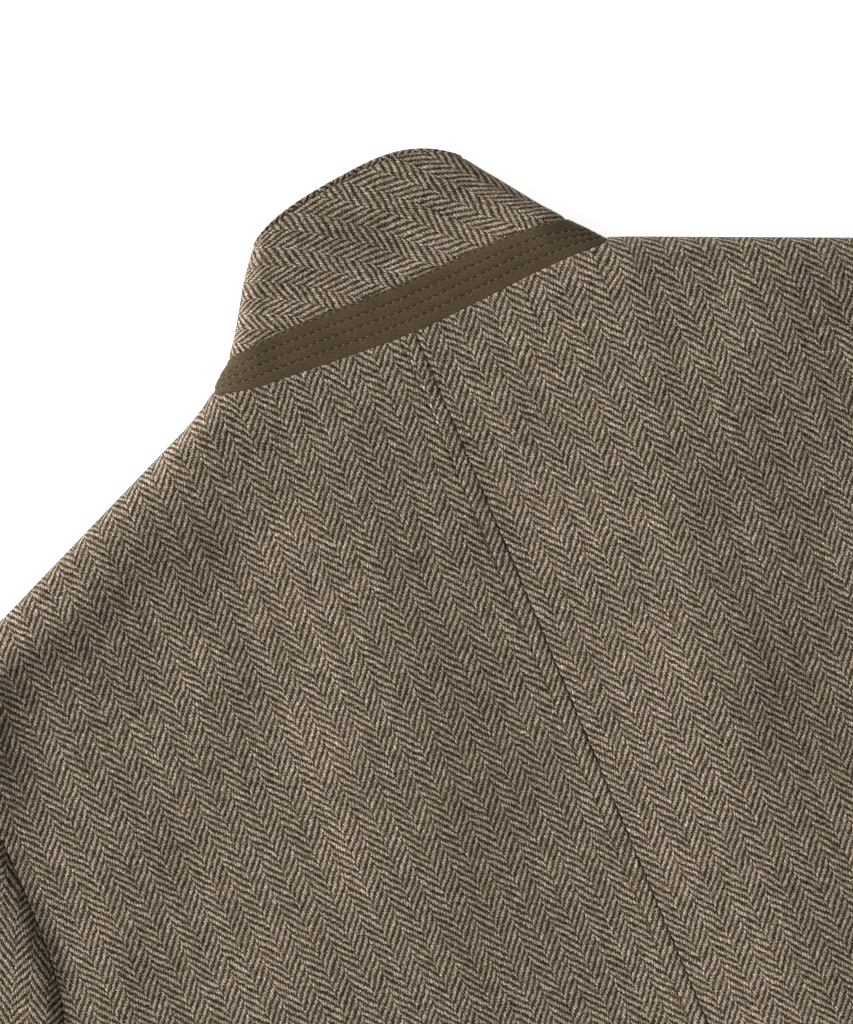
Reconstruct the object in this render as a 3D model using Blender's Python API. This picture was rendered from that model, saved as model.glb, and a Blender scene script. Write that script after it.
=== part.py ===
"""A tweed hunting jacket lying face down, with its collar turned up.

The fronts rest on the floor, the back lies on top of them, and the sleeves lie beside the body. Every
piece of cloth is a wall of even thickness. Its outer face is a grid that is carried to the garment's
shape, and the same grid moved through the wall is its inner face. Across the jacket is X, towards the
collar is Y and up is Z. All sizes are in metres. Plans are drawn from the middle of the back neck seam,
and one empty sets that point in the part's own frame.
"""
import math
from collections import namedtuple

import bmesh
import bpy
import numpy as np

# Cloth and seams
BACK_WALL = 0.0024
FRONT_WALL = 0.0024
SLEEVE_WALL = 0.0022
COLLAR_WALL = 0.0015
BAND_WALL = 0.0010
SEAM_GAP = 0.0003
FOLD_SEAM_HALF_GAP = 0.00045
OVERLAP_GAP = 0.0008
FRONT_NECK_GAP = 0.0010

# Plan of the body
BACK_LENGTH = 0.760
NECK_HALF_WIDTH = 0.086
NECK_POINT_RISE = 0.0093
NECK_SEAM_RISE = 0.0010
SHOULDER_SLOPE = math.radians(23.1)
FRONT_NECK_DROP = 0.078
FRONT_OVERLAP = 0.020

# Collar, turned up
COLLAR_HEIGHT = 0.0700
COLLAR_CORNER_X = 0.0464
COLLAR_CORNER_Y = 0.0592
COLLAR_POINT_X = 0.012
COLLAR_POINT_Y = -0.014
COLLAR_END_X = 0.008
COLLAR_EDGE_RADIUS = 0.0070
COLLAR_EDGE_FLOOR = 0.0006
COLLAR_EDGE_BOW_SHARE = 0.30
COLLAR_EDGE_BOW = 2.0
COLLAR_EDGE_CORNER = 3.2
COLLAR_FRONT_BOW = 0.006
COLLAR_SINK = 0.0019
NECK_SEAM_CURVE = 1.5
NECK_CLEARING_SHARE = 0.6
ROLLED_EDGE = 0.035
ROLLED_EDGE_RISE = 0.0003
BAND_SHARE_BACK = 0.297
BAND_SHARE_SIDE = 0.244
BAND_SHARE_FRONT = 0.150
BAND_DROP = 6.0

# Height of the lying jacket
NECK_RISE = 0.0100
NECK_REACH = 0.170
ARMHOLE_DIP = 0.0026
ARMHOLE_DIP_REACH = 0.010
UNDERARM_BLEND = 0.090

# Front buttons, which lie between the left front and the floor
BUTTON_COUNT = 4
BUTTON_FIRST_Y = -0.120
BUTTON_SPACING = 0.115
BUTTON_RADIUS = 0.0115
BUTTON_THICKNESS = 0.0028
BUTTON_SIDES = 24
BUTTON_RIM = 0.0022
BUTTON_DISH = 0.0007
CLOSURE_HALF_WIDTH = 0.022
CLOSURE_BEYOND = 0.045
CLOSURE_SLOPE = 0.046

# Grid counts
BACK_NECK_COLUMNS = 6
BACK_SHOULDER_COLUMNS = 6
FRONT_COLUMNS = 11
SIDE_ROWS = 9
ARMHOLE_ROWS = 11
SLEEVE_COLUMNS = 11
SLEEVE_ROWS = 9
COLLAR_STATIONS = 10
COLLAR_STEPS = 6
BAND_STEPS = 3
TURN_SHARES = (1.0, 0.80, 0.55, 0.28)
STATION_POWER = 1.6
LARGEST_TURN = 0.35
SLEEVE_HEAD_SHARE = 0.028
SLEEVE_UNDERARM_SHARE = 0.30
SEAM_SAMPLES = 49
NECK_SAMPLES = 25
SMALL_STEP = 0.004
SHARP_ANGLE = math.radians(40)

Spot = namedtuple("Spot", "x y")
Level = namedtuple("Level", "y height")
Fold = namedtuple("Fold", "start_x start_y end_x end_y half_width rise")

# Seam of the sleeve, from the shoulder tip down to the underarm
ARMHOLE = (
    Spot(0.2430, -0.0577),
    Spot(0.2375, -0.1050),
    Spot(0.2360, -0.1600),
    Spot(0.2475, -0.2120),
    Spot(0.2880, -0.2500),
)
# Folded side of the body, from the underarm down to the hem
BODY_SIDE = (
    Spot(0.2880, -0.2500),
    Spot(0.2835, -0.4200),
    Spot(0.2870, -0.7600),
)
# Outer folded edge of the sleeve, from the shoulder tip down to the cuff
SLEEVE_OUTER = (
    Spot(0.2436, -0.0581),
    Spot(0.2680, -0.0780),
    Spot(0.3000, -0.1250),
    Spot(0.3520, -0.2150),
    Spot(0.4040, -0.3100),
    Spot(0.4500, -0.4050),
    Spot(0.4850, -0.5000),
    Spot(0.5200, -0.6320),
)
# Inner folded edge of the sleeve, from the underarm down to the cuff
SLEEVE_INNER = (
    Spot(0.2896, -0.2508),
    Spot(0.2892, -0.3300),
    Spot(0.2920, -0.4000),
    Spot(0.3020, -0.4700),
    Spot(0.3350, -0.5600),
    Spot(0.3800, -0.6690),
)
# Height of the lying body from the hem to the neck, before its folds
BODY_LEVELS = (
    Level(-0.760, 0.0074),
    Level(-0.600, 0.0086),
    Level(-0.400, 0.0096),
    Level(-0.150, 0.0100),
    Level(0.080, 0.0100),
)
# Height of the sleeve at the cuff and at the shoulder
CUFF_HEIGHT = 0.0072
SLEEVE_HEAD_HEIGHT = 0.0092
# Broad soft folds of the back: a ridge rises and a hollow sinks
BACK_FOLDS = (
    Fold(-0.074, -0.060, -0.100, -0.340, 0.046, 0.0042),
    Fold(0.074, -0.055, 0.064, -0.320, 0.044, 0.0042),
    Fold(0.000, -0.050, 0.000, -0.760, 0.045, 0.0027),
    Fold(-0.138, -0.034, -0.222, -0.070, 0.020, 0.0016),
    Fold(-0.120, -0.080, -0.205, -0.112, 0.022, -0.0016),
    Fold(0.110, -0.090, 0.095, -0.200, 0.020, -0.0014),
    Fold(-0.180, -0.330, -0.120, -0.560, 0.030, 0.0016),
    Fold(0.170, -0.400, 0.120, -0.640, 0.034, 0.0018),
)
# Folds across the sleeve: shares of its length and width, and a rise
SLEEVE_FOLDS = (
    Fold(0.10, 0.58, 0.90, 0.50, 0.035, 0.0012),
    Fold(0.05, 0.47, 0.75, 0.42, 0.030, -0.0010),
    Fold(0.20, 0.36, 0.95, 0.33, 0.032, 0.0010),
    Fold(0.10, 0.70, 0.80, 0.88, 0.050, 0.0012),
)

Finish = namedtuple("Finish", "word colour roughness")
TWEED = Finish("tweed", (0.165, 0.128, 0.092), 0.95)
OLIVE = Finish("olive_cloth", (0.093, 0.068, 0.039), 0.85)
HORN = Finish("horn", (0.060, 0.036, 0.020), 0.40)


class Path:
    """A smooth curve through a few points, read by the fraction of its length."""

    def __init__(self, points, steps=16):
        points = np.array(points, dtype=float)
        if steps > 1:
            points = self.rounded(points, steps)
        self.points = points
        lengths = np.linalg.norm(np.diff(points, axis=0), axis=1)
        self.travel = np.concatenate([[0.0], np.cumsum(lengths)])
        self.length = self.travel[-1]

    @staticmethod
    def rounded(points, steps):
        ends = [2 * points[0] - points[1], 2 * points[-1] - points[-2]]
        padded = np.vstack([ends[0], points, ends[1]])
        curve = []
        for before, start, end, after in zip(padded, padded[1:], padded[2:], padded[3:]):
            for t in np.linspace(0.0, 1.0, steps, endpoint=False):
                bend = 2 * before - 5 * start + 4 * end - after
                twist = 3 * start - before - 3 * end + after
                curve.append(start + 0.5 * t * (end - before + t * (bend + t * twist)))
        curve.append(points[-1])
        return np.array(curve)

    def at(self, fraction):
        place = np.clip(fraction, 0.0, 1.0) * self.length
        return np.array([np.interp(place, self.travel, column) for column in self.points.T])


def ease(share):
    """Goes from 0 to 1 with a level start and end."""
    share = min(max(share, 0.0), 1.0)
    return share * share * (3.0 - 2.0 * share)


def gathered(share):
    """A share of a run whose steps draw closer together towards its end."""
    return 1.0 - (1.0 - share) ** STATION_POWER


def fold_roll(inside, height, share=1.0):
    """How far a wall has left its flat level at a distance inside an edge that is folded by a share."""
    radius = height / 2
    reach = radius * math.sin(share * math.pi / 2) - max(inside, 0.0)
    reach = min(max(reach, 0.0), radius)
    return radius - math.sqrt(radius * radius - reach * reach)


def fold_rise(fold, x, y):
    """Rise of one soft fold at a point of the plan."""
    run = np.array([fold.end_x - fold.start_x, fold.end_y - fold.start_y])
    away = np.array([x - fold.start_x, y - fold.start_y])
    along = np.clip(np.dot(away, run) / np.dot(run, run), 0.0, 1.0)
    distance = np.linalg.norm(away - along * run)
    return fold.rise * math.exp(-(distance / fold.half_width) ** 2)


SHOULDER_OUT = np.array([math.sin(SHOULDER_SLOPE), math.cos(SHOULDER_SLOPE)])
SIDE_OUT = np.array([1.0, 0.0])
NECK_POINT = np.array([NECK_HALF_WIDTH, NECK_POINT_RISE])
ARMHOLE_PATH = Path(ARMHOLE)
SIDE_PATH = Path(BODY_SIDE)
UNDERARM = np.array(ARMHOLE[-1])
SHOULDER_TIP = np.array(ARMHOLE[0])


def shoulder_inside(x, y):
    """Distance of a plan point inside the folded shoulder."""
    return float(np.dot(NECK_POINT - (abs(x), y), SHOULDER_OUT))


def side_inside(x, y):
    """Distance of a plan point inside the folded side of the body."""
    edge = np.interp(-y, -SIDE_PATH.points[:, 1], SIDE_PATH.points[:, 0])
    return float(edge - abs(x))


def armhole_inside(x, y):
    """Distance of a plan point inside the armhole seam."""
    edge = np.interp(-y, -ARMHOLE_PATH.points[:, 1], ARMHOLE_PATH.points[:, 0])
    return float(edge - abs(x))


def body_height(x, y):
    """Height of the lying body at a plan point, away from its folded edges."""
    for low, high in zip(BODY_LEVELS, BODY_LEVELS[1:]):
        if y <= high.y:
            break
    height = low.height + (high.height - low.height) * ease((y - low.y) / (high.y - low.y))
    from_neck = math.hypot(max(abs(x) - NECK_HALF_WIDTH, 0.0), NECK_POINT_RISE - min(y, NECK_POINT_RISE))
    height += NECK_RISE * ease(1.0 - from_neck / NECK_REACH)
    calm = ease(min(side_inside(x, y), shoulder_inside(x, y)) / UNDERARM_BLEND)
    return height + calm * sum(fold_rise(fold, x, y) for fold in BACK_FOLDS)


def side_share(y):
    """How much of the body's edge is folded at a level: none above the underarm."""
    return ease((UNDERARM[1] - y) / UNDERARM_BLEND)


def edge_fold(x, y):
    """How far the shoulder or side fold moves a wall from its flat level, and which way that fold faces."""
    height = body_height(x, y)
    shoulder = fold_roll(shoulder_inside(x, y), height)
    side = fold_roll(side_inside(x, y), height, side_share(y))
    facing = SHOULDER_OUT if shoulder > side else SIDE_OUT
    return min(max(shoulder, side), height / 2 - FOLD_SEAM_HALF_GAP), facing


def edge_roll(x, y):
    """How far the shoulder and side folds move a wall from its flat level."""
    return edge_fold(x, y)[0]


def wall_step(roll, height, facing, upper, wall):
    """Step through a wall, from its inner face to its outer one, where a fold has moved it by a roll."""
    up = 1.0 - 2 * roll / height
    out = math.sqrt(1.0 - up * up)
    return wall * np.array([out * facing[0], out * facing[1], up if upper else -up])


def armhole_dip(inside):
    """Sinking of the cloth towards the armhole seam."""
    return ARMHOLE_DIP * (1.0 - min(max(inside / ARMHOLE_DIP_REACH, 0.0), 1.0)) ** 2


def back_level(x, y):
    """Outer face of the back."""
    dip = (1.0 - side_share(y)) * armhole_dip(armhole_inside(x, y))
    return body_height(x, y) - max(edge_roll(x, y), dip)


def closure_lift(x, y):
    """Lift of the fronts over the buttons that they lie on."""
    last = BUTTON_FIRST_Y - BUTTON_SPACING * (BUTTON_COUNT - 1)
    across = 1.0 - ease((abs(x) - CLOSURE_HALF_WIDTH) / CLOSURE_SLOPE)
    beyond = max(y - BUTTON_FIRST_Y - CLOSURE_BEYOND, last - CLOSURE_BEYOND - y, 0.0)
    return (BUTTON_THICKNESS + SEAM_GAP) * across * (1.0 - ease(beyond / CLOSURE_SLOPE))


def front_level(x, y, side):
    """Outer face of a front, which looks down. The right front's edge lies on the left front's."""
    step = 0.0
    if side > 0:
        step = (FRONT_WALL + OVERLAP_GAP) * (1.0 - ease((x - CLOSURE_HALF_WIDTH) / CLOSURE_SLOPE))
    return closure_lift(x, y) + step + edge_roll(x, y)


def neck_seam_back(share):
    """Plan of the collar's seam on the back, from the centre to the neck point."""
    end = NECK_POINT - COLLAR_SINK * SHOULDER_OUT
    rise = (end[1] - NECK_SEAM_RISE) * share ** NECK_SEAM_CURVE
    return np.array([share * end[0], NECK_SEAM_RISE + rise])


def neck_seam_front(share):
    """Plan of the collar's seam on a front, from the neck point to the collar's end."""
    end = NECK_POINT - COLLAR_SINK * SHOULDER_OUT
    turn = math.acos(COLLAR_END_X / end[0]) * share
    return np.array([end[0] * math.cos(turn), end[1] - (end[1] + FRONT_NECK_DROP) * math.sin(turn)])


def seam_level(plan, side, upper):
    """Height of the undercollar's outer face on the neck seam."""
    x, y = plan
    height = body_height(x, y)
    roll = fold_roll(shoulder_inside(x, y) - COLLAR_SINK, height - 2 * COLLAR_SINK)
    if upper:
        return height - COLLAR_SINK - roll
    return front_level(side * x, y, side) - edge_roll(x, y) + COLLAR_SINK + roll


def collar_edge_back(share):
    """The collar's free edge from the centre back to the middle of the side fold."""
    radius = COLLAR_EDGE_RADIUS
    flat = COLLAR_CORNER_X - radius
    travel = share * (flat + radius * math.pi / 2)
    turn = max(travel - flat, 0.0) / radius
    x = min(travel, flat) + radius * math.sin(turn)
    place = x / COLLAR_CORNER_X
    bow = COLLAR_EDGE_BOW_SHARE * place ** COLLAR_EDGE_BOW
    corner = (1.0 - COLLAR_EDGE_BOW_SHARE) * place ** COLLAR_EDGE_CORNER
    y = COLLAR_HEIGHT - (COLLAR_HEIGHT - COLLAR_CORNER_Y) * (bow + corner)
    return x, y, COLLAR_EDGE_FLOOR + radius * (1.0 + math.cos(turn))


def collar_edge_front():
    """The collar's free edge from the middle of the side fold, under it and down to the collar's point."""
    radius = COLLAR_EDGE_RADIUS
    floor = COLLAR_EDGE_FLOOR
    under_x = COLLAR_CORNER_X - radius
    under_y = COLLAR_CORNER_Y - radius
    middle_x = (under_x + COLLAR_POINT_X) / 2 + COLLAR_FRONT_BOW
    middle_y = (under_y + COLLAR_POINT_Y) / 2
    turn = radius * math.sqrt(0.5)
    return (
        (COLLAR_CORNER_X, COLLAR_CORNER_Y, floor + radius),
        (under_x + turn, under_y + turn, floor + radius - turn),
        (under_x, under_y, floor),
        (middle_x, middle_y, floor),
        (COLLAR_POINT_X, COLLAR_POINT_Y, floor),
    )


def collar_paths(side):
    """Neck seam and free edge of half the collar, each as a back stretch and a front stretch."""
    shares = np.linspace(0.0, 1.0, SEAM_SAMPLES)
    seam_back = [neck_seam_back(share) for share in shares]
    seam_front = [neck_seam_front(share) for share in shares]
    return (
        Path([(*plan, seam_level(plan, side, True)) for plan in seam_back], steps=1),
        Path([(*plan, seam_level(plan, side, False)) for plan in seam_front], steps=1),
        Path([collar_edge_back(share) for share in shares], steps=1),
        Path(collar_edge_front()),
    )


COLLAR_PATHS = {side: collar_paths(side) for side in (1, -1)}


def collar_face(around, up):
    """Undercollar's outer face. Around runs from -1 at one end to 1 at the other, up from seam to edge."""
    side = 1 if around >= 0 else -1
    seam_back, seam_front, edge_back, edge_front = COLLAR_PATHS[side]
    share = 2 * abs(around)
    if share <= 1.0:
        point = (1.0 - up) * seam_back.at(share) + up * edge_back.at(share)
    else:
        point = (1.0 - up) * seam_front.at(share - 1.0) + up * edge_front.at(share - 1.0)
    return point * (side, 1, 1)


def collar_point(around, up, out):
    """A point at a distance out from the undercollar's outer face."""
    low = max(around - SMALL_STEP, -1.0)
    high = min(around + SMALL_STEP, 1.0)
    along = collar_face(high, up) - collar_face(low, up)
    rise = collar_face(around, up + SMALL_STEP) - collar_face(around, up - SMALL_STEP)
    normal = np.cross(along, rise)
    return collar_face(around, up) + out * normal / np.linalg.norm(normal)


def collar_stations():
    """Places around the collar, closer together at its side folds."""
    shares = np.linspace(0.0, 1.0, COLLAR_STATIONS + 1)
    back = [0.5 * gathered(share) for share in shares]
    front = [1.0 - 0.5 * gathered(1.0 - share) for share in shares[1:]]
    half = back + front
    return [-place for place in reversed(half[1:])] + half


def band_share(around):
    """Height of the stand band as a share of the collar's height."""
    place = 2 * abs(around)
    if place <= 1.0:
        return BAND_SHARE_BACK + (BAND_SHARE_SIDE - BAND_SHARE_BACK) * place ** BAND_DROP
    return BAND_SHARE_SIDE + (BAND_SHARE_FRONT - BAND_SHARE_SIDE) * ease(place - 1.0)


def turn_steps(radius):
    """Close steps in from a folded edge, from the seam on it to where its cloth lies flat."""
    last = math.acos(FOLD_SEAM_HALF_GAP / radius)
    return [radius * (1.0 - math.sin(share * last)) for share in TURN_SHARES]


def spaced(count, length, radius):
    """Distances along a row: even ones between the close steps of its folded ends."""
    radius = min(radius, LARGEST_TURN * length)
    start = turn_steps(radius)
    end = [length - step for step in reversed(start)]
    even = np.linspace(radius, length - radius, count + 1 - len(start) - len(end))
    return [*start, *even, *end]


def patch(bottom, top, left, right, u, v):
    """A point of the plan inside four edges."""
    rows = (1 - v) * bottom.at(u) + v * top.at(u)
    columns = (1 - u) * left.at(v) + u * right.at(v)
    low = (1 - u) * bottom.at(0) + u * bottom.at(1)
    high = (1 - u) * top.at(0) + u * top.at(1)
    return rows + columns - (1 - v) * low - v * high


def plain_material(name, finish):
    """A plain finish of a piece's own."""
    material = bpy.data.materials.new(f"{name}_{finish.word}")
    material.use_nodes = True
    shader = material.node_tree.nodes["Principled BSDF"]
    shader.inputs["Base Color"].default_value = (*finish.colour, 1.0)
    shader.inputs["Roughness"].default_value = finish.roughness
    shader.inputs["Metallic"].default_value = 0.0
    return material


def new_object(name, bm, finish, parent):
    """Puts a finished shape in the scene as one named piece, in triangles that follow its form."""
    bmesh.ops.triangulate(bm, faces=bm.faces[:])
    mesh = bpy.data.meshes.new(name)
    bm.to_mesh(mesh)
    bm.free()
    mesh.materials.append(plain_material(name, finish))
    mesh.shade_smooth()
    mesh.set_sharp_from_angle(angle=SHARP_ANGLE)
    piece = bpy.data.objects.new(name, mesh)
    bpy.context.scene.collection.objects.link(piece)
    piece.parent = parent


def grid_place(vert, columns, rows):
    """Column and row of a new grid's corner."""
    return round((vert.co.x + 1.0) / 2 * columns), round((vert.co.y + 1.0) / 2 * rows)


def grid_shape(columns, rows, place):
    """A grid of quads, each corner carried to the place of its column and row."""
    bm = bmesh.new()
    bmesh.ops.create_grid(bm, x_segments=columns, y_segments=rows, size=1.0)
    for vert in bm.verts:
        vert.co = place(*grid_place(vert, columns, rows))
    return bm


def cloth(name, columns, rows, place, parent):
    """A panel of cloth: a grid carried to its outer face, and the same grid extruded to its inner face."""
    bm = bmesh.new()
    bmesh.ops.create_grid(bm, x_segments=columns, y_segments=rows, size=1.0)
    grown = bmesh.ops.extrude_face_region(bm, geom=bm.faces[:], use_keep_orig=True)
    inside = {item for item in grown["geom"] if isinstance(item, bmesh.types.BMVert)}
    for vert in bm.verts:
        point, step = place(*grid_place(vert, columns, rows))
        vert.co = point - step if vert in inside else point
    bmesh.ops.recalc_face_normals(bm, faces=bm.faces)
    new_object(name, bm, TWEED, parent)


def neck_edge(side, upper, share):
    """Cut neck edge of a panel, just clear of the collar's seam."""
    seam = neck_seam_back(share) if upper else neck_seam_front(1.0 - share)
    around = 0.5 * share if upper else 1.0 - 0.5 * share
    rising = (collar_face(side * around, 1.0) - collar_face(side * around, 0.0))[:2] * (side, 1)
    clear = SEAM_GAP if upper else FRONT_NECK_GAP
    clear += (BAND_WALL + SEAM_GAP) * ease((share - NECK_CLEARING_SHARE) / (1.0 - NECK_CLEARING_SHARE))
    return seam - clear * rising / np.linalg.norm(rising)


def neck_line(side, upper, first):
    """Cut neck edge of a panel, up to the folded shoulder."""
    points = [neck_edge(side, upper, share) for share in np.linspace(first, 1.0, NECK_SAMPLES)]
    points[-1] = points[-1] + shoulder_inside(*points[-1]) * SHOULDER_OUT
    return points


BODY_BORDER = Path(np.vstack([SIDE_PATH.points[::-1], ARMHOLE_PATH.points[::-1][1:]]), steps=1)
UNDERARM_SHARE = SIDE_PATH.length / BODY_BORDER.length
SHOULDER_LENGTH = float(np.linalg.norm(SHOULDER_TIP - NECK_POINT))


def body_rows(length, radius):
    """Shares of the way from the hem to the shoulder, with rows of their own beside the armhole."""
    side = [UNDERARM_SHARE * gathered(step / SIDE_ROWS) for step in range(SIDE_ROWS + 1)]
    armhole = np.linspace(UNDERARM_SHARE, 1.0 - radius / length, ARMHOLE_ROWS + 1)
    turn = [1.0 - step / length for step in reversed(turn_steps(radius))]
    return [*side, *armhole[1:], *turn]


def shoulder_radius(x, y):
    """Radius of the folded shoulder above a plan point."""
    return body_height(x, y) / 2


def body_panel(name, left, top, neck, columns, level, side, upper, wall, parent):
    """Half a back or a front, between its edge by the centre, its top edge, and the side and armhole."""
    bottom = Path([tuple(left.at(0)), tuple(BODY_SIDE[-1])], steps=1)
    neck_share = 1.0 - SHOULDER_LENGTH / top.length if neck else 0.0
    neck_shares = [neck_share * gathered(step / neck) for step in range(neck)]
    radius = body_height(*UNDERARM) / 2
    turn = [1.0 - step / bottom.length for step in reversed(turn_steps(radius))]
    across = [*neck_shares, *np.linspace(neck_share, 1.0 - radius / bottom.length, columns), *turn]
    border_rows = body_rows(BODY_BORDER.length, shoulder_radius(*SHOULDER_TIP))

    def place(column, row):
        u = across[column]
        length = (1 - u) * left.length + u * BODY_BORDER.length
        v = body_rows(length, shoulder_radius(*top.at(u)))[row]
        x, y = patch(bottom, top, left, BODY_BORDER, u, v)
        roll, facing = edge_fold(x, y)
        step = wall_step(roll, body_height(x, y), facing, upper, wall)
        mirror = np.array([side, 1.0, 1.0])
        return mirror * (x, y, level(side * x, y)), mirror * step

    cloth(name, len(across) - 1, len(border_rows) - 1, place, parent)


def back_half(name, side, parent):
    """Left or right half of the back, up to the seam in its middle."""
    neck = neck_line(side, True, SEAM_GAP / 2 / NECK_HALF_WIDTH)
    left = Path([(SEAM_GAP / 2, -BACK_LENGTH), neck[0]], steps=1)
    top = Path([*neck, SHOULDER_TIP], steps=1)
    columns = BACK_NECK_COLUMNS, BACK_SHOULDER_COLUMNS
    body_panel(name, left, top, *columns, back_level, side, True, BACK_WALL, parent)


def front_half(name, side, parent):
    """Left or right front, whose edge passes the centre by the overlap and then follows the neckline."""
    neck = neck_line(side, False, 0.0)
    corner = (-FRONT_OVERLAP, neck[0][1] - FRONT_NECK_GAP)
    left = Path([(-FRONT_OVERLAP, -BACK_LENGTH), corner, *neck], steps=1)
    top = Path([neck[-1], SHOULDER_TIP], steps=1)

    def level(x, y):
        return front_level(x, y, side)

    body_panel(name, left, top, 0, FRONT_COLUMNS, level, side, False, FRONT_WALL, parent)


SLEEVE_OUTER_PATH = Path(SLEEVE_OUTER)
SLEEVE_INNER_PATH = Path(SLEEVE_INNER)


def sleeve_rows():
    """Ends of the sleeve's rows from cuff to head: a place on its inner border and one on its outer edge.

    Beside the armhole the inner places lie just clear of the body's own rows.
    """
    rows = []
    for step in range(SLEEVE_ROWS + 1):
        share = 1.0 - gathered(step / SLEEVE_ROWS)
        outer = SLEEVE_UNDERARM_SHARE + (1.0 - SLEEVE_UNDERARM_SHARE) * share
        rows.append((SLEEVE_INNER_PATH.at(share), SLEEVE_OUTER_PATH.at(outer)))
    body = body_rows(BODY_BORDER.length, shoulder_radius(*SHOULDER_TIP))
    for step in range(1, ARMHOLE_ROWS + 1):
        place = body[SIDE_ROWS + step]
        along = BODY_BORDER.at(place + SMALL_STEP) - BODY_BORDER.at(place - SMALL_STEP)
        along = along / np.linalg.norm(along)
        inner = BODY_BORDER.at(place) + SEAM_GAP * np.array([along[1], -along[0]])
        share = step / ARMHOLE_ROWS
        outer = SLEEVE_UNDERARM_SHARE + (SLEEVE_HEAD_SHARE - SLEEVE_UNDERARM_SHARE) * share
        rows.append((inner, SLEEVE_OUTER_PATH.at(outer)))
    return rows


SLEEVE_ENDS = sleeve_rows()


def sleeve_height(u, v):
    """Height of the lying sleeve at a share across it and a share up it from the cuff."""
    height = CUFF_HEIGHT + (SLEEVE_HEAD_HEIGHT - CUFF_HEIGHT) * ease(v)
    return height + ease(4 * u * (1.0 - u)) * sum(fold_rise(fold, u, v) for fold in SLEEVE_FOLDS)


def sleeve_half(name, side, upper, parent):
    """Upper or under sleeve. Its two seams lie on the sleeve's folded edges."""
    rows = len(SLEEVE_ENDS) - 1

    def place(column, row):
        inner, outer = SLEEVE_ENDS[row]
        v = row / rows
        width = float(np.linalg.norm(outer - inner))
        radius = sleeve_height(0.0, v) / 2
        share = side_share(inner[1])
        distance = spaced(SLEEVE_COLUMNS, width, radius)[column]
        across = (outer - inner) / width
        x, y = inner + across * distance
        height = sleeve_height(distance / width, v)
        rolls = fold_roll(distance, height, share), fold_roll(width - distance, height)
        facing = across if rolls[1] > rolls[0] else -across
        roll = min(max(rolls), height / 2 - FOLD_SEAM_HALF_GAP)
        level = height - max(roll, (1.0 - share) * armhole_dip(distance)) if upper else roll
        step = wall_step(roll, height, facing, upper, SLEEVE_WALL)
        mirror = np.array([side, 1.0, 1.0])
        return mirror * (x, y, level), mirror * step

    cloth(name, SLEEVE_COLUMNS, rows, place, parent)


def collar_piece(name, profile, finish, parent):
    """A piece of the collar: a closed profile of heights and distances out, carried around the neck."""
    stations = collar_stations()
    columns, rows = len(stations) - 1, len(profile(0.0))

    def place(column, row):
        around = stations[column]
        up, out = profile(around)[row % rows]
        return collar_point(around, up, out)

    bm = grid_shape(columns, rows, place)
    bmesh.ops.remove_doubles(bm, verts=bm.verts, dist=SEAM_GAP / 100)
    bmesh.ops.holes_fill(bm, edges=[edge for edge in bm.edges if edge.is_boundary])
    bmesh.ops.recalc_face_normals(bm, faces=bm.faces)
    new_object(name, bm, finish, parent)


def wall_profile(top, outer, wall, steps):
    """Profile of a plain wall, up its outer face and down its inner one."""
    ups = [top * step / steps for step in range(steps + 1)]
    return [(up, outer) for up in ups] + [(up, outer - wall) for up in reversed(ups)]


def undercollar_profile(around):
    """Runs from the neck seam to the collar's free edge."""
    return wall_profile(1.0, 0.0, COLLAR_WALL, COLLAR_STEPS)


def band_profile(around):
    """Lies on the foot of the undercollar."""
    return wall_profile(band_share(around), SEAM_GAP + BAND_WALL, BAND_WALL, BAND_STEPS)


def top_collar_profile(around):
    """Lies inside the undercollar, and its edge rolls over the undercollar's edge."""
    inner = -COLLAR_WALL - SEAM_GAP
    plain = wall_profile(1.0, inner, COLLAR_WALL, COLLAR_STEPS)
    foot = SEAM_GAP / COLLAR_HEIGHT
    half = len(plain) // 2
    roll = [(1.0 + foot, ROLLED_EDGE_RISE), (1.0 + ROLLED_EDGE, ROLLED_EDGE_RISE)]
    roll.append((1.0 + ROLLED_EDGE, inner - COLLAR_WALL))
    return plain[:half - 1] + [(1.0 + foot, inner)] + roll + plain[half + 1:]


def button(name, y, parent):
    """A round button with a dished face, which lies face down on the floor."""
    bm = bmesh.new()
    radii = {"radius1": BUTTON_RADIUS, "radius2": BUTTON_RADIUS}
    bmesh.ops.create_cone(bm, cap_ends=True, segments=BUTTON_SIDES, depth=BUTTON_THICKNESS, **radii)
    face = min(bm.faces, key=lambda item: item.calc_center_median().z)
    bmesh.ops.inset_region(bm, faces=[face], thickness=BUTTON_RIM)
    bmesh.ops.translate(bm, verts=face.verts, vec=(0.0, 0.0, BUTTON_DISH))
    bmesh.ops.translate(bm, verts=bm.verts, vec=(0.0, y, BUTTON_THICKNESS / 2))
    new_object(name, bm, HORN, parent)


def build_jacket():
    """Makes every piece of the jacket."""
    for item in list(bpy.data.objects):
        bpy.data.objects.remove(item, do_unlink=True)
    jacket = bpy.data.objects.new("jacket", None)
    top = COLLAR_HEIGHT + ROLLED_EDGE * (COLLAR_HEIGHT - NECK_SEAM_RISE)
    jacket.location = (0.0, (BACK_LENGTH - top) / 2, 0.0)
    bpy.context.scene.collection.objects.link(jacket)

    for side, word in ((-1, "left"), (1, "right")):
        back_half(f"back_{word}", side, jacket)
        front_half(f"front_{word}", side, jacket)
        sleeve_half(f"upper_sleeve_{word}", side, True, jacket)
        sleeve_half(f"under_sleeve_{word}", side, False, jacket)
    collar_piece("undercollar", undercollar_profile, TWEED, jacket)
    collar_piece("top_collar", top_collar_profile, TWEED, jacket)
    collar_piece("collar_band", band_profile, OLIVE, jacket)
    for number in range(BUTTON_COUNT):
        button(f"button_{number + 1}", BUTTON_FIRST_Y - number * BUTTON_SPACING, jacket)


build_jacket()
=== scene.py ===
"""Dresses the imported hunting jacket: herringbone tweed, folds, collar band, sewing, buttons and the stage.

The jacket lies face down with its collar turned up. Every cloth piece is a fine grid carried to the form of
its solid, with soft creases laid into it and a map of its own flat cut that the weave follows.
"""
import math
from collections import namedtuple

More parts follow.
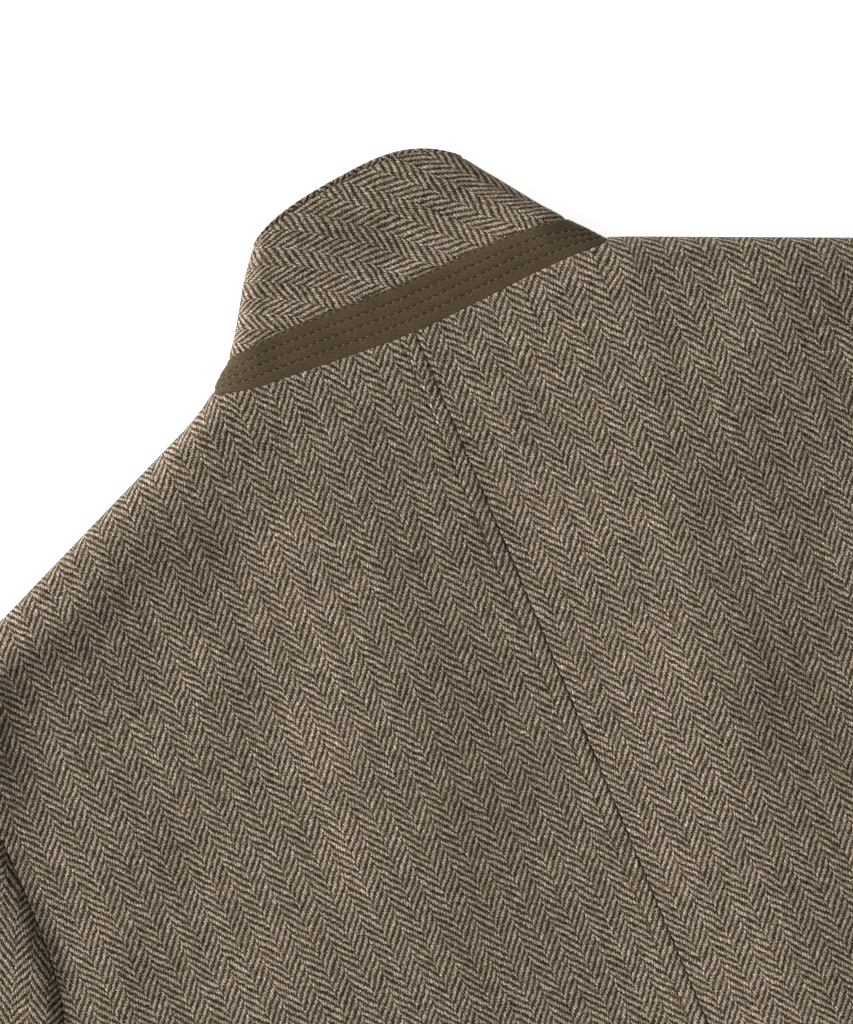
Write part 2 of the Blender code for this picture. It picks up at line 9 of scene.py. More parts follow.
import bmesh
import bpy
import numpy as np
from bpy.props import FloatProperty, FloatVectorProperty, IntProperty, PointerProperty
from mathutils import Matrix, Vector


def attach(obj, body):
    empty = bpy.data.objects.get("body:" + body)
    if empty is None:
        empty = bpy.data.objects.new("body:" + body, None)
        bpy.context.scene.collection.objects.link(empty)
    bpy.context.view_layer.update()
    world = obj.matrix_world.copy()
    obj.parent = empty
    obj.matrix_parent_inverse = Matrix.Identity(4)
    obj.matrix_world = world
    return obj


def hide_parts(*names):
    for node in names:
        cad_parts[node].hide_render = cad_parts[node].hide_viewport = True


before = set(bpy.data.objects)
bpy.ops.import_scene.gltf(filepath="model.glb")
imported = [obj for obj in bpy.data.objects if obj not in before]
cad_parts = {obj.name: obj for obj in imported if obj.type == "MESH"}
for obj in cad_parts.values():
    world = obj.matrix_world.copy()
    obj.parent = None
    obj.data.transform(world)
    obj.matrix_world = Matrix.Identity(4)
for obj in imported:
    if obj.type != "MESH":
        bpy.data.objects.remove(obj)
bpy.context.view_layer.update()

bl_info = {
    "name": "Herringbone Hunting Jacket",
    "version": (1, 0, 0),
    "blender": (4, 5, 0),
    "location": "3D View > Sidebar > Jacket",
    "description": "Dresses the packed jacket in tweed, with its folds, collar band, sewing and buttons",
    "category": "Object",
}

Spot = namedtuple("Spot", "x y")
Level = namedtuple("Level", "y height")
Fold = namedtuple("Fold", "start_x start_y end_x end_y half_width rise")
Wave = namedtuple("Wave", "period share start")
Sides = namedtuple("Sides", "left right")
Span = namedtuple("Span", "start end")
Hump = namedtuple("Hump", "middle half_width")
Ring = namedtuple("Ring", "radius level")
Stop = namedtuple("Stop", "place red green blue")
Tone = namedtuple("Tone", "low high least most")
Wobble = namedtuple("Wobble", "scale reach")
Weave = namedtuple("Weave", "number end pick warp_turn weft_turn warp_wave weft_wave in_end in_pick")

# Plan of the body, from the middle of the back neck seam
BACK_LENGTH = 0.760
NECK_HALF_WIDTH = 0.086
NECK_POINT_RISE = 0.0093
NECK_SEAM_RISE = 0.0010
NECK_EDGE_DIP = 0.0008
NECK_EDGE_REACH = 0.0012
SHOULDER_SLOPE = math.radians(23.1)
FRONT_NECK_DROP = 0.078
FRONT_CORNER_DROP = 0.001
FRONT_OVERLAP = 0.020
FRONT_WALL = 0.0024
OVERLAP_GAP = 0.0008
BUTTON_GAP = 0.0003
SHAPING_LENGTH = 0.090
SHAPING_WIDTH = 0.115
SHAPING_POWER = 1.5

# Collar, turned up
COLLAR_HEIGHT = 0.0700
COLLAR_CORNER_X = 0.0464
COLLAR_CORNER_Y = 0.0592
COLLAR_POINT_X = 0.012
COLLAR_POINT_Y = -0.014
COLLAR_END_X = 0.008
COLLAR_EDGE_RADIUS = 0.0070
COLLAR_EDGE_FLOOR = 0.0006
COLLAR_EDGE_BOW_SHARE = 0.30
COLLAR_EDGE_BOW = 2.0
COLLAR_EDGE_CORNER = 3.2
COLLAR_FRONT_BOW = 0.006
COLLAR_SINK = 0.0019
NECK_SEAM_CURVE = 1.5
STATION_POWER = 1.6
BIAS_FAN = 1.37
BIAS_FAN_REACH = 0.09

# Layers of the collar: distances out of the undercollar's outer face, and places in shares of its height
UNDERCOLLAR_INNER = -0.0014
UNDERCOLLAR_EDGE = (0.985, 0.992, 0.997, 1.0)
EDGE_SINK = 0.00045
EDGE_SINK_WIDTH = 0.0012
COLLAR_PUFF = 0.0009
COLLAR_PUFF_START = 0.014
COLLAR_PUFF_LEVEL = 0.030
COLLAR_PUFF_FADE = 0.10
TOP_COLLAR_OUTER = -0.0018
TOP_COLLAR_INNER = -0.0032
TOP_COLLAR_INNER_ROLL = 0.8
ROLLED_EDGE = 0.035
ROLLED_EDGE_LOSS = 0.2
ROLLED_EDGE_LOSS_SPAN = Span(0.70, 1.0)
BEAD_STEPS = 11
BEAD_FOOT = 1.0004
BEAD_START = 1.0005
BEAD_OUT = -0.00045
BEAD_SWELL = 0.0007
BEAD_RETURN = 0.0012

# Stand band: heights in shares of the collar's, rows in shares of the band's, and distances out
BAND_SHARE_BACK = 0.297
BAND_SHARE_SIDE = 0.244
BAND_SHARE_FRONT = 0.150
BAND_DROP = 6.0
BAND_INNER = 0.0001
BAND_OUTER = 0.0010
BAND_EDGE_DROP = 0.0005
BAND_EDGE_REACH = 0.06
SEWN_ROWS = (0.960, 0.715, 0.485, 0.255)
SEWN_ROW_DEPTH = 0.00034
SEWN_ROW_HALF_WIDTH = 0.030
SEWN_ROW_GATHER = 0.34
SEWN_ROW_GATHER_AT = Hump(0.5, 0.055)
SEWN_REACH = 0.985

# Centre back seam, whose allowances are pressed to the left
SEAM_TURN = Sides(0.0012, 0.0011)
SEAM_LOW_SHARE = 0.3
SEAM_LOW_REACH = 0.012
SEAM_PUFF_REACH = 0.005
STITCH_GROOVE = 0.00030
STITCH_GROOVE_HALF_WIDTH = 0.0007
CENTRE_ROW_MARGIN = 0.002

# Height of the lying jacket
NECK_RISE = 0.0100
NECK_REACH = 0.170
ARMHOLE_RISE = 0.0005
ARMHOLE_RISE_REACH = 0.0050
UNDERARM_BLEND = 0.090
FOLD_FADE = 0.018
FOLD_NECK_MARGIN = 0.004
CUFF_HEIGHT = 0.0072
SLEEVE_HEAD_HEIGHT = 0.0092
SLEEVE_HEAD_SHARE = 0.028
SLEEVE_UNDERARM_SHARE = 0.30
SLEEVE_LOWER_SHARE = 0.45
SLEEVE_LOWER_POWER = 1.6
SLEEVE_EDGE_RISE = 0.0011
SLEEVE_TURN = 0.0036
SLEEVE_TURN_REACH = 0.0066
SLEEVE_SWELL = 0.0012
SLEEVE_SWELL_REACH = 0.018
SLEEVE_HEAD_SPAN = Span(0.085, 0.030)
SLEEVE_HEAD_EDGE = 0.024

# Small moves of the finished form, as the jacket was laid out by hand
SHOULDER_DROP = Sides(0.0011, 0.0016)
SHOULDER_DROP_ACROSS = Span(0.045, 0.085)
SHOULDER_DROP_UP = Span(0.030, 0.008)
EDGE_SKEW = Sides(0.0012, 0.0017)
EDGE_SKEW_REACH = Sides(0.042, 0.052)
EDGE_SKEW_UP = Span(0.030, 0.060)
NECK_POINT_AT = Hump(0.084, 0.009)
NECK_POINT_ABOVE = Span(0.026, 0.014)
NECK_POINT_BELOW = Span(-0.030, 0.0)
NECK_POINT_LIFT = Sides(0.0025, -0.0014)
NECK_POINT_SPREAD = Sides(0.0, 0.0026)
COLLAR_FULLNESS = Sides(0.0016, 0.0)
COLLAR_FULLNESS_UP = Span(0.026, 0.050)
COLLAR_WIDTH_ACROSS = Span(0.024, 0.054)
PINCH_LEVELS = (0.008, 0.0115, 0.0155, 0.0185, 0.022, 0.030, 0.046)
COLLAR_PINCH = Sides(
    (0.0, -0.0005, 0.0009, 0.0021, 0.0016, 0.0006, 0.0),
    (0.0, 0.0004, 0.0008, 0.0011, 0.0011, 0.0006, 0.0),
)
DRIFT_TOP = 0.0003
DRIFT_BELOW = 0.0005
DRIFT_SPAN = Span(0.0, -0.12)
ARMHOLE_SLIP = 0.0016
ARMHOLE_SLIP_AT = Spot(-0.240, -0.145)
ARMHOLE_SLIP_REACH = 0.035
ARMHOLE_SLIP_WAY = Spot(-0.92, 0.39)
COLLAR_BULGE = 0.0012
COLLAR_BULGE_ACROSS = Hump(-0.018, 0.020)
COLLAR_BULGE_UP = Span(0.018, 0.038)
COLLAR_HOLLOW = 0.0022
COLLAR_HOLLOW_UP = Hump(0.035, 0.012)
COLLAR_HOLLOW_ACROSS = Span(0.070, 0.050)
UPPER_LAYER = Span(0.004, 0.014)

# Front buttons, which lie between the left front and the floor
BUTTON_COUNT = 4
BUTTON_FIRST_Y = -0.120
BUTTON_SPACING = 0.115
BUTTON_RADIUS = 0.0115
BUTTON_THICKNESS = 0.0028
BUTTON_STEPS = 40
BUTTON_PROFILE = (
    Ring(0.0, BUTTON_THICKNESS),
    Ring(0.0095, BUTTON_THICKNESS),
    Ring(0.0112, 0.0022),
    Ring(BUTTON_RADIUS, 0.0014),
    Ring(0.0112, 0.0005),
    Ring(0.0104, 0.0),
    Ring(0.0094, 0.0002),
    Ring(0.0086, 0.0008),
    Ring(0.0070, 0.0009),
    Ring(0.0, 0.0009),
)
CLOSURE_HALF_WIDTH = 0.022
CLOSURE_BEYOND = 0.045
CLOSURE_SLOPE = 0.046

# Grid counts and small steps
SEAM_COLUMNS = (
    0.0, 0.00015, 0.0003, 0.0005, 0.0008, 0.0012, 0.0018, 0.0026, 0.0036,
    0.0046, 0.0054, 0.0058, 0.0061, 0.0064, 0.0067, 0.0070, 0.0074, 0.0082,
)
NECK_COLUMNS = 40
NECK_POINTS = 61
SHOULDER_COLUMNS = 62
FRONT_COLUMNS = 70
TURN_COUNT = 8
SIDE_ROWS = 150
ARMHOLE_ROWS = 90
SLEEVE_COLUMNS = 50
SLEEVE_ROWS = 120
COLLAR_STATIONS = 300
COLLAR_STEPS = 44
COLLAR_PATH_POINTS = 161
COLLAR_POINT_STEPS = 40
BAND_STEPS = 61
BAND_LINE_POINTS = 4001
CENTRE_LINE_POINTS = 1500
STITCH_LOT = 20
STITCH_SEED = 7
STITCH_JITTER = 0.12
STITCH_LIFT = 0.05
TIP_LIFT = 0.3
SMALL_STEP = 0.004
FOLD_SEAM_HALF_GAP = 0.00020
SEAM_GAP = 0.00001
LARGEST_TURN = 0.35
MERGE_DISTANCE = 0.000002

# Weave and finishes: noise scales are per metre of cloth
PLAIN = (1.0, 1.0, 1.0)
WHITE = (1.0, 1.0, 1.0, 1.0)
TWILL_STEP = 0.25
COLUMN_BREAK = 0.5
WOBBLES = (Wobble(90.0, 0.0016), Wobble(520.0, 0.0009), Wobble(1500.0, 0.0004))
FLUFF_SCALE = 1250.0
FLUFF_REACH = 2.2
YARN_ROUNDNESS = 0.65
WARP_COLUMN_STEP = 31.7
WARP_END_STEP = 3.37
WEFT_PICK_STEP = 5.13
YARN_BLEND_SCALE = 75.0
FIBRE_SCALE = 1500.0
FIBRE_RELIEF = 0.8
STREAK_ACROSS = 260.0
STREAK_ALONG = 14.0
CLOUD_SCALE = 26.0
PATCH_SCALE = 190.0
HEATHER_SCALE = 130.0
FELT_SCALE = 1300.0
FELT_CLOUD_SCALE = 70.0
HORN_SCALE = (60.0, 260.0, 60.0)
WARP_SHOWN = Tone(-0.66, 0.94, 0.0, 1.0)
WARP_TONE = Tone(0.0, 1.0, 0.70, 1.30)
WEFT_TONE = Tone(0.0, 1.0, 0.55, 1.65)
# Painted shade and highlight: the tweed's colour darkens where the yarns sink and lightens on their crowns,
# following their relief.
RELIEF_PAINTED_SHADE_AND_HIGHLIGHT = Tone(-0.25, 0.95, 0.44, 1.32)
FIBRE_TONE = Tone(0.25, 0.75, 0.44, 1.56)
SOFT_TONE = Tone(0.25, 0.75, 0.91, 1.09)
CLOUD_TONE = Tone(0.30, 0.70, 0.95, 1.05)
FELT_TONE = Tone(0.3, 0.7, 0.92, 1.08)
WARP_STOPS = (
    Stop(0.27, 0.98, 0.98, 1.00),
    Stop(0.45, 1.00, 1.00, 1.00),
    Stop(0.68, 1.00, 1.00, 0.96),
    Stop(0.80, 1.00, 0.98, 0.94),
)
WEFT_STOPS = (
    Stop(0.27, 0.96, 1.00, 1.08),
    Stop(0.42, 1.00, 1.00, 1.00),
    Stop(0.58, 1.15, 1.16, 1.22),
    Stop(0.72, 1.42, 1.44, 1.50),
)
HEATHER_STOPS = (
    Stop(0.30, 1.00, 0.99, 1.03),
    Stop(0.42, 1.00, 1.00, 1.00),
    Stop(0.64, 1.00, 1.005, 0.94),
)
FELT_STOPS = (Stop(0.28, 0.62, 0.62, 0.60), Stop(0.72, 1.40, 1.40, 1.42))
HORN_STOPS = (Stop(0.30, 0.55, 0.50, 0.45), Stop(0.55, 1.0, 1.0, 1.0), Stop(0.75, 2.4, 2.3, 2.0))
TWEED_LOOK = {
    "Roughness": 0.92,
    "Specular IOR Level": 0.15,
    "Sheen Weight": 0.10,
    "Sheen Roughness": 0.55,
    "Sheen Tint": (0.85, 0.78, 0.68, 1.0),
}
FELT_LOOK = {"Roughness": 0.88, "Specular IOR Level": 0.22, "Sheen Weight": 0.10, "Sheen Roughness": 0.5}
HORN_LOOK = {"Roughness": 0.34}
THREAD_LOOK = {"Roughness": 0.7, "Specular IOR Level": 0.2}
FLOOR_LOOK = {"Roughness": 0.9, "Specular IOR Level": 0.1, "Emission Color": WHITE}

# Stage
FLOOR_SIZE = 8.0
FLOOR_LEVEL = -0.0002
CLOTH_LEVEL = 0.014
KEY_FROM = (-1.67, 0.705, 0.845)
KEY_ANGLE = math.radians(26.0)
SENSOR_WIDTH = 36.0

SIDE_WORDS = ((-1, "left"), (1, "right"))

# Outlines and heights, from the middle of the back neck seam
ARMHOLE = (
    Spot(0.2430, -0.0577),
    Spot(0.2375, -0.1050),
    Spot(0.2360, -0.1600),
    Spot(0.2475, -0.2120),
    Spot(0.2880, -0.2500),
)
BODY_SIDE = (
    Spot(0.2880, -0.2500),
    Spot(0.2835, -0.4200),
    Spot(0.2870, -0.7600),
)
SLEEVE_OUTER = (
    Spot(0.2436, -0.0581),
    Spot(0.2680, -0.0780),
    Spot(0.3000, -0.1250),
    Spot(0.3520, -0.2150),
    Spot(0.4040, -0.3100),
    Spot(0.4500, -0.4050),
    Spot(0.4850, -0.5000),
    Spot(0.5200, -0.6320),
)
SLEEVE_INNER = (
    Spot(0.2896, -0.2508),
    Spot(0.2892, -0.3300),
    Spot(0.2920, -0.4000),
    Spot(0.3020, -0.4700),
    Spot(0.3350, -0.5600),
    Spot(0.3800, -0.6690),
)
BODY_LEVELS = (
    Level(-0.760, 0.0074),
    Level(-0.600, 0.0086),
    Level(-0.400, 0.0096),
    Level(-0.150, 0.0100),
    Level(0.080, 0.0100),
)

# Soft folds of the back, in steps of half a millimetre: a ridge rises and a hollow sinks
BACK_FOLDS = (
    # Long ridge down the right half, from beside the neck
    Fold(0.085, -0.018, 0.075, -0.100, 0.025, 0.0025),
    Fold(0.075, -0.100, 0.060, -0.180, 0.027, 0.0025),
    Fold(0.060, -0.180, 0.040, -0.310, 0.028, 0.0030),
    # Ridges under the right shoulder and the hollow that they end in
    Fold(0.115, -0.025, 0.160, -0.050, 0.014, 0.0020),
    Fold(0.112, -0.060, 0.104, -0.130, 0.016, 0.0020),
    Fold(0.140, -0.040, 0.132, -0.110, 0.024, 0.0035),
    Fold(0.184, -0.056, 0.172, -0.150, 0.026, 0.0040),
    Fold(0.132, -0.110, 0.112, -0.220, 0.026, -0.0010),
    # Hollow beside the centre seam
    Fold(0.004, -0.030, 0.002, -0.090, 0.020, -0.0020),
    Fold(0.002, -0.090, -0.024, -0.290, 0.023, -0.0010),
    Fold(-0.025, -0.030, -0.030, -0.090, 0.014, -0.0015),
    # Hollows that fan out below the left end of the collar
    Fold(-0.050, -0.022, -0.053, -0.062, 0.024, -0.0010),
    Fold(-0.070, -0.030, -0.072, -0.080, 0.014, -0.0010),
    Fold(-0.085, -0.050, -0.088, -0.130, 0.016, -0.0015),
    Fold(-0.104, -0.060, -0.118, -0.120, 0.022, -0.0040),
    # Ridges that go on from them
    Fold(-0.063, -0.144, -0.080, -0.200, 0.028, 0.0025),
    Fold(-0.080, -0.200, -0.108, -0.300, 0.030, 0.0015),
    Fold(-0.088, -0.130, -0.104, -0.200, 0.018, 0.0020),
    Fold(-0.118, -0.120, -0.140, -0.220, 0.026, 0.0015),
    # Hollow across the left shoulder and the ridges above it
    Fold(-0.205, -0.100, -0.150, -0.085, 0.022, -0.0015),
    Fold(-0.150, -0.085, -0.105, -0.052, 0.020, -0.0030),
    Fold(-0.216, -0.079, -0.150, -0.070, 0.013, -0.0010),
    Fold(-0.170, -0.062, -0.130, -0.046, 0.012, -0.0015),
    Fold(-0.205, -0.056, -0.110, -0.015, 0.013, 0.0010),
    Fold(-0.215, -0.057, -0.165, -0.050, 0.011, 0.0020),
    # Ridges beside the left armhole
    Fold(-0.238, -0.090, -0.223, -0.058, 0.020, 0.0050),
    Fold(-0.232, -0.080, -0.240, -0.150, 0.013, 0.0020),
    Fold(-0.236, -0.070, -0.212, -0.052, 0.012, 0.0010),
    Fold(-0.205, -0.110, -0.215, -0.150, 0.016, 0.0015),
    Fold(-0.190, -0.150, -0.222, -0.200, 0.016, 0.0015),
    # Similar folds on the lower back, past the picture's edge
    Fold(-0.180, -0.330, -0.120, -0.560, 0.030, 0.0030),
    Fold(0.170, -0.400, 0.120, -0.640, 0.032, 0.0035),
    Fold(-0.060, -0.390, -0.085, -0.600, 0.022, -0.0020),
    Fold(0.055, -0.420, 0.040, -0.690, 0.024, 0.0025),
    Fold(-0.215, -0.450, -0.195, -0.700, 0.020, -0.0020),
    Fold(0.225, -0.330, 0.205, -0.540, 0.018, -0.0015),
    Fold(-0.020, -0.560, -0.030, -0.735, 0.020, 0.0015),
)

# Uneven drawing-in along the centre seam
PUCKERS = (
    Wave(0.0062, 0.22, 0.1),
    Wave(0.0117, 0.24, 0.4),
    Wave(0.0291, 0.22, 0.7),
)

# Shallow rises of the fronts off the floor
FRONT_CREASES = (
    Fold(-0.110, -0.120, -0.180, -0.230, 0.016, 0.0009),
    Fold(-0.150, -0.320, -0.120, -0.520, 0.018, 0.0010),
    Fold(0.130, -0.150, 0.190, -0.260, 0.015, 0.0009),
    Fold(0.160, -0.380, 0.140, -0.640, 0.019, 0.0010),
    Fold(-0.205, -0.560, -0.190, -0.720, 0.014, 0.0007),
    Fold(0.090, -0.300, 0.110, -0.420, 0.012, 0.0006),
)

# Folds across the sleeve, in shares of its width and length
SLEEVE_FOLDS = (
    Fold(0.10, 0.58, 0.90, 0.50, 0.035, 0.0012),
    Fold(0.05, 0.47, 0.75, 0.42, 0.030, -0.0010),
    Fold(0.20, 0.36, 0.95, 0.33, 0.032, 0.0010),
    Fold(0.10, 0.70, 0.80, 0.88, 0.050, 0.0012),
)
SLEEVE_CREASES = (
    Fold(0.05, 0.52, 0.55, 0.49, 0.014, -0.0010),
    Fold(0.30, 0.43, 0.90, 0.385, 0.016, 0.0014),
    Fold(0.10, 0.31, 0.60, 0.285, 0.012, -0.0009),
    Fold(0.15, 0.20, 0.70, 0.16, 0.017, 0.0013),
    Fold(0.20, 0.64, 0.85, 0.66, 0.015, -0.0009),
)


class JacketCloth(bpy.types.PropertyGroup):
    """Sizes and colours of the tweed and the band's cloth."""

    wall: FloatProperty(
        name="Wall", description="Thickness of the tweed shell", default=0.0016, unit="LENGTH")
    column: FloatProperty(
        name="Column", description="Width of one herringbone column", default=0.00717, unit="LENGTH")
    pitch: FloatProperty(
        name="Pitch", description="Length of one twill repeat along a column",
        default=0.00369, unit="LENGTH")
    ends: IntProperty(name="Ends", description="Warp yarns in one column", default=9)
    light_yarn: FloatVectorProperty(
        name="Light yarn", description="Colour of the beige warp", subtype="COLOR",
        default=(0.402, 0.335, 0.271))
    dark_yarn: FloatVectorProperty(
        name="Dark yarn", description="Colour of the brown weft", subtype="COLOR",
        default=(0.052, 0.0307, 0.0125))
    olive: FloatVectorProperty(
        name="Olive", description="Colour of the stand band", subtype="COLOR",
        default=(0.098, 0.066, 0.0350))
    bias: FloatProperty(
        name="Bias", description="Slant of the undercollar's columns below the cross line",
        default=math.radians(42.0), subtype="ANGLE")
    sleeve_slant: FloatProperty(
        name="Sleeve slant", description="Slant of the sleeve's columns from the centre back",
        default=math.radians(29.0), subtype="ANGLE")


class JacketForm(bpy.types.PropertyGroup):
    """Small forms that are laid into the cloth."""

    crease: FloatProperty(name="Creases", description="Strength of the folds and creases", default=1.0)
    seam_lift: FloatProperty(
        name="Seam lift", description="Rise of the left back over the seam allowances below it",
        default=0.00030, unit="LENGTH")
    seam_sink: FloatProperty(
        name="Seam sink", description="Depth to which the cloth turns in at a seam",
        default=0.00042, unit="LENGTH")
    stitch_line: FloatProperty(
        name="Stitch line", description="Distance of the topstitching from the centre seam",
        default=0.0066, unit="LENGTH")
    shaping_left: FloatProperty(
        name="Shaping left", description="Cloth taken into the centre seam at the neck, on the left half",
        default=0.0030, unit="LENGTH")
    shaping_right: FloatProperty(
        name="Shaping right", description="Cloth taken into the centre seam at the neck, on the right half",
        default=0.0045, unit="LENGTH")


class JacketSewing(bpy.types.PropertyGroup):
    """Sewing and buttons."""

    period: FloatProperty(
        name="Period", description="Length from stitch to stitch", default=0.0034, unit="LENGTH")
    length: FloatProperty(
        name="Length", description="Length of a stitch that shows", default=0.0022, unit="LENGTH")
    width: FloatProperty(name="Width", description="Width of the thread", default=0.00038, unit="LENGTH")
    tip: FloatProperty(
        name="Tip", description="Length of the tip where a stitch goes in", default=0.0014, unit="LENGTH")
    # The thread is painted near-black: painted shade of the sunk stitches, darker than the thread's own
    # colour.
    thread: FloatVectorProperty(
        name="Thread", description="Colour of the thread", subtype="COLOR", default=(0.014, 0.009, 0.004))
    # The tip is the thread's own tan, brightened as a painted highlight where it catches the light.
    tip_tan_and_highlight: FloatVectorProperty(
        name="Thread tip", description="Colour where a stitch goes in", subtype="COLOR",
        default=(0.300, 0.220, 0.120))
    horn: FloatVectorProperty(
        name="Horn", description="Colour of the buttons", subtype="COLOR", default=(0.060, 0.036, 0.020))


class JacketStage(bpy.types.PropertyGroup):
    """Camera, light and floor."""

    centre: FloatVectorProperty(
        name="Centre", description="Point under the middle of the picture, from the back neck",
        size=2, default=(-0.0239, -0.0687), subtype="XYZ", unit="LENGTH")
    roll: FloatProperty(
        name="Roll", description="Turn of the camera about the upright", default=math.radians(-22.9),
        subtype="ANGLE")
    distance: FloatProperty(
        name="Distance", description="Camera above the cloth", default=2.2, unit="LENGTH")
    tall: FloatProperty(
        name="Tall", description="Height of the picture on the cloth", default=0.4198, unit="LENGTH")
    key_power: FloatProperty(name="Key", description="Strength of the key light", default=4.0)
    sky: FloatProperty(name="Sky", description="Strength of the light from all round", default=0.235)
    floor: FloatVectorProperty(
        name="Floor", description="Colour of the floor", subtype="COLOR", default=(0.90, 0.90, 0.90))
    floor_glow: FloatProperty(name="Floor glow", description="Own light of the floor", default=0.80)


class Path:
    """A smooth curve through a few points, read by fractions of its length."""

    def __init__(self, points, steps=16):
        points = np.array(points, dtype=float)
        if steps > 1:
            points = self.rounded(points, steps)
        self.points = points
        lengths = np.linalg.norm(np.diff(points, axis=0), axis=1)
        self.travel = np.concatenate([[0.0], np.cumsum(lengths)])
        self.length = self.travel[-1]

    @staticmethod
    def rounded(points, steps):
        ends = [2 * points[0] - points[1], 2 * points[-1] - points[-2]]
        padded = np.vstack([ends[0], points, ends[1]])
        curve = []
        for before, start, end, after in zip(padded, padded[1:], padded[2:], padded[3:]):
            for t in np.linspace(0.0, 1.0, steps, endpoint=False):
                bend = 2 * before - 5 * start + 4 * end - after
                twist = 3 * start - before - 3 * end + after
                curve.append(start + 0.5 * t * (end - before + t * (bend + t * twist)))
        curve.append(points[-1])
        return np.array(curve)

    def at(self, fraction):
        place = np.clip(fraction, 0.0, 1.0) * self.length
        return np.stack([np.interp(place, self.travel, column) for column in self.points.T], axis=-1)


def ease(share):
    """Goes from 0 to 1 with a level start and end."""
    share = np.clip(share, 0.0, 1.0)
    return share * share * (3.0 - 2.0 * share)


def within(value, span):
    """Goes from 0 at the start of a span to 1 at its end."""
    return ease((value - span.start) / (span.end - span.start))


def humped(value, hump):
    """1 in the middle of a hump, and soft slopes to 0 on both sides."""
    return np.exp(-((value - hump.middle) / hump.half_width) ** 2)


def by_side(x, sides):
    """The left or the right value for each place."""
    return np.where(x > 0, sides.right, sides.left)


def fold_roll(inside, height, share=1.0):
    """How far a wall has left its flat level at a distance inside an edge that is folded by a share."""
    radius = height / 2
    reach = radius * np.sin(share * np.pi / 2) - np.maximum(inside, 0.0)
    reach = np.clip(reach, 0.0, radius)
    return radius - np.sqrt(radius * radius - reach * reach)


def spare_length(roll, height):
    """Length of rolled cloth that the plan doesn't show."""
    radius = height / 2
    turn = np.arccos(np.clip(1.0 - roll / radius, -1.0, 1.0))
    return radius * (turn - np.sin(turn))


def fold_rise(fold, x, y):
    """Rise of one soft fold."""
    run_x, run_y = fold.end_x - fold.start_x, fold.end_y - fold.start_y
    along = ((x - fold.start_x) * run_x + (y - fold.start_y) * run_y) / (run_x ** 2 + run_y ** 2)
    along = np.clip(along, 0.0, 1.0)
    distance = np.hypot(x - fold.start_x - along * run_x, y - fold.start_y - along * run_y)
    return fold.rise * np.exp(-(distance / fold.half_width) ** 2)


SHOULDER_OUT = np.array([math.sin(SHOULDER_SLOPE), math.cos(SHOULDER_SLOPE)])
NECK_POINT = np.array([NECK_HALF_WIDTH, NECK_POINT_RISE])
COLLAR_NECK_POINT = NECK_POINT - COLLAR_SINK * SHOULDER_OUT
ARMHOLE_PATH = Path(ARMHOLE)
SIDE_PATH = Path(BODY_SIDE)
UNDERARM = np.array(ARMHOLE[-1])
SHOULDER_TIP = np.array(ARMHOLE[0])
SHOULDER_LENGTH = float(np.linalg.norm(SHOULDER_TIP - NECK_POINT))
BODY_BORDER = Path(np.vstack([SIDE_PATH.points[::-1], ARMHOLE_PATH.points[::-1][1:]]), steps=1)
UNDERARM_SHARE = SIDE_PATH.length / BODY_BORDER.length
# From the plan's own zero to the part's origin
NECK_Y = (BACK_LENGTH - COLLAR_HEIGHT - ROLLED_EDGE * (COLLAR_HEIGHT - NECK_SEAM_RISE)) / 2


def shoulder_inside(x, y):
    """Distance inside the folded shoulder."""
    return NECK_POINT @ SHOULDER_OUT - np.abs(x) * SHOULDER_OUT[0] - y * SHOULDER_OUT[1]


def edge_inside(path, x, y):
    """Distance inside the folded side of the body, or inside the armhole seam."""
    return np.interp(-y, -path.points[:, 1], path.points[:, 0]) - np.abs(x)


def side_share(y):
    """How much of the body's edge is folded at a level: none above the underarm."""
    return ease((UNDERARM[1] - y) / UNDERARM_BLEND)


def calm(x, y):
    """Lets the folds run out towards the body's edges and the neck."""
    from_neck = np.where(np.abs(x) < NECK_HALF_WIDTH, NECK_SEAM_RISE + FOLD_NECK_MARGIN - y, 1.0)
    away = np.minimum(np.minimum(edge_inside(SIDE_PATH, x, y), shoulder_inside(x, y)), from_neck)
    return ease(away / FOLD_FADE)


def body_height(x, y):
    """Height of the lying body, away from its folded edges."""
    height = np.full(np.shape(y), BODY_LEVELS[0].height)
    for low, high in zip(BODY_LEVELS, BODY_LEVELS[1:]):
        step = low.height + (high.height - low.height) * ease((y - low.y) / (high.y - low.y))
        height = np.where(y > low.y, step, height)
    from_neck = np.hypot(np.maximum(np.abs(x) - NECK_HALF_WIDTH, 0.0), np.maximum(NECK_POINT_RISE - y, 0.0))
    return height + NECK_RISE * ease(1.0 - from_neck / NECK_REACH)


def edge_rolls(x, y, height):
    """How far the shoulder fold and the side fold move a wall from its flat level."""
    shoulder = fold_roll(shoulder_inside(x, y), height)
    side = fold_roll(edge_inside(SIDE_PATH, x, y), height, side_share(y))
    most = height / 2 - FOLD_SEAM_HALF_GAP
    return np.minimum(shoulder, most), np.minimum(side, most)


def seam_dip(inside, depth, reach):
    """Sinking of the cloth towards a seam."""
    return depth * (1.0 - np.clip(inside / reach, 0.0, 1.0)) ** 2


def pucker(y):
    """Uneven drawing-in of the cloth along the centre seam, about 1."""
    return 1.0 + sum(wave.share * np.sin(2 * math.pi * (y / wave.period + wave.start)) for wave in PUCKERS)


def centre_seam(distance, y, side, form):
    """Height of the cloth beside the centre seam, whose allowances are pressed to the left."""
    if side > 0:
        low = SEAM_LOW_SHARE * form.seam_lift * (1.0 - ease(distance / SEAM_LOW_REACH))
        return -low - pucker(y) * seam_dip(distance, form.seam_sink, SEAM_TURN.right)
    from_row = distance - form.stitch_line
    puff = pucker(y) * form.seam_lift * (1.0 - ease(from_row / SEAM_PUFF_REACH))
    groove = STITCH_GROOVE * np.exp(-(from_row / STITCH_GROOVE_HALF_WIDTH) ** 2)
    return puff - groove - seam_dip(distance, form.seam_sink, SEAM_TURN.left)


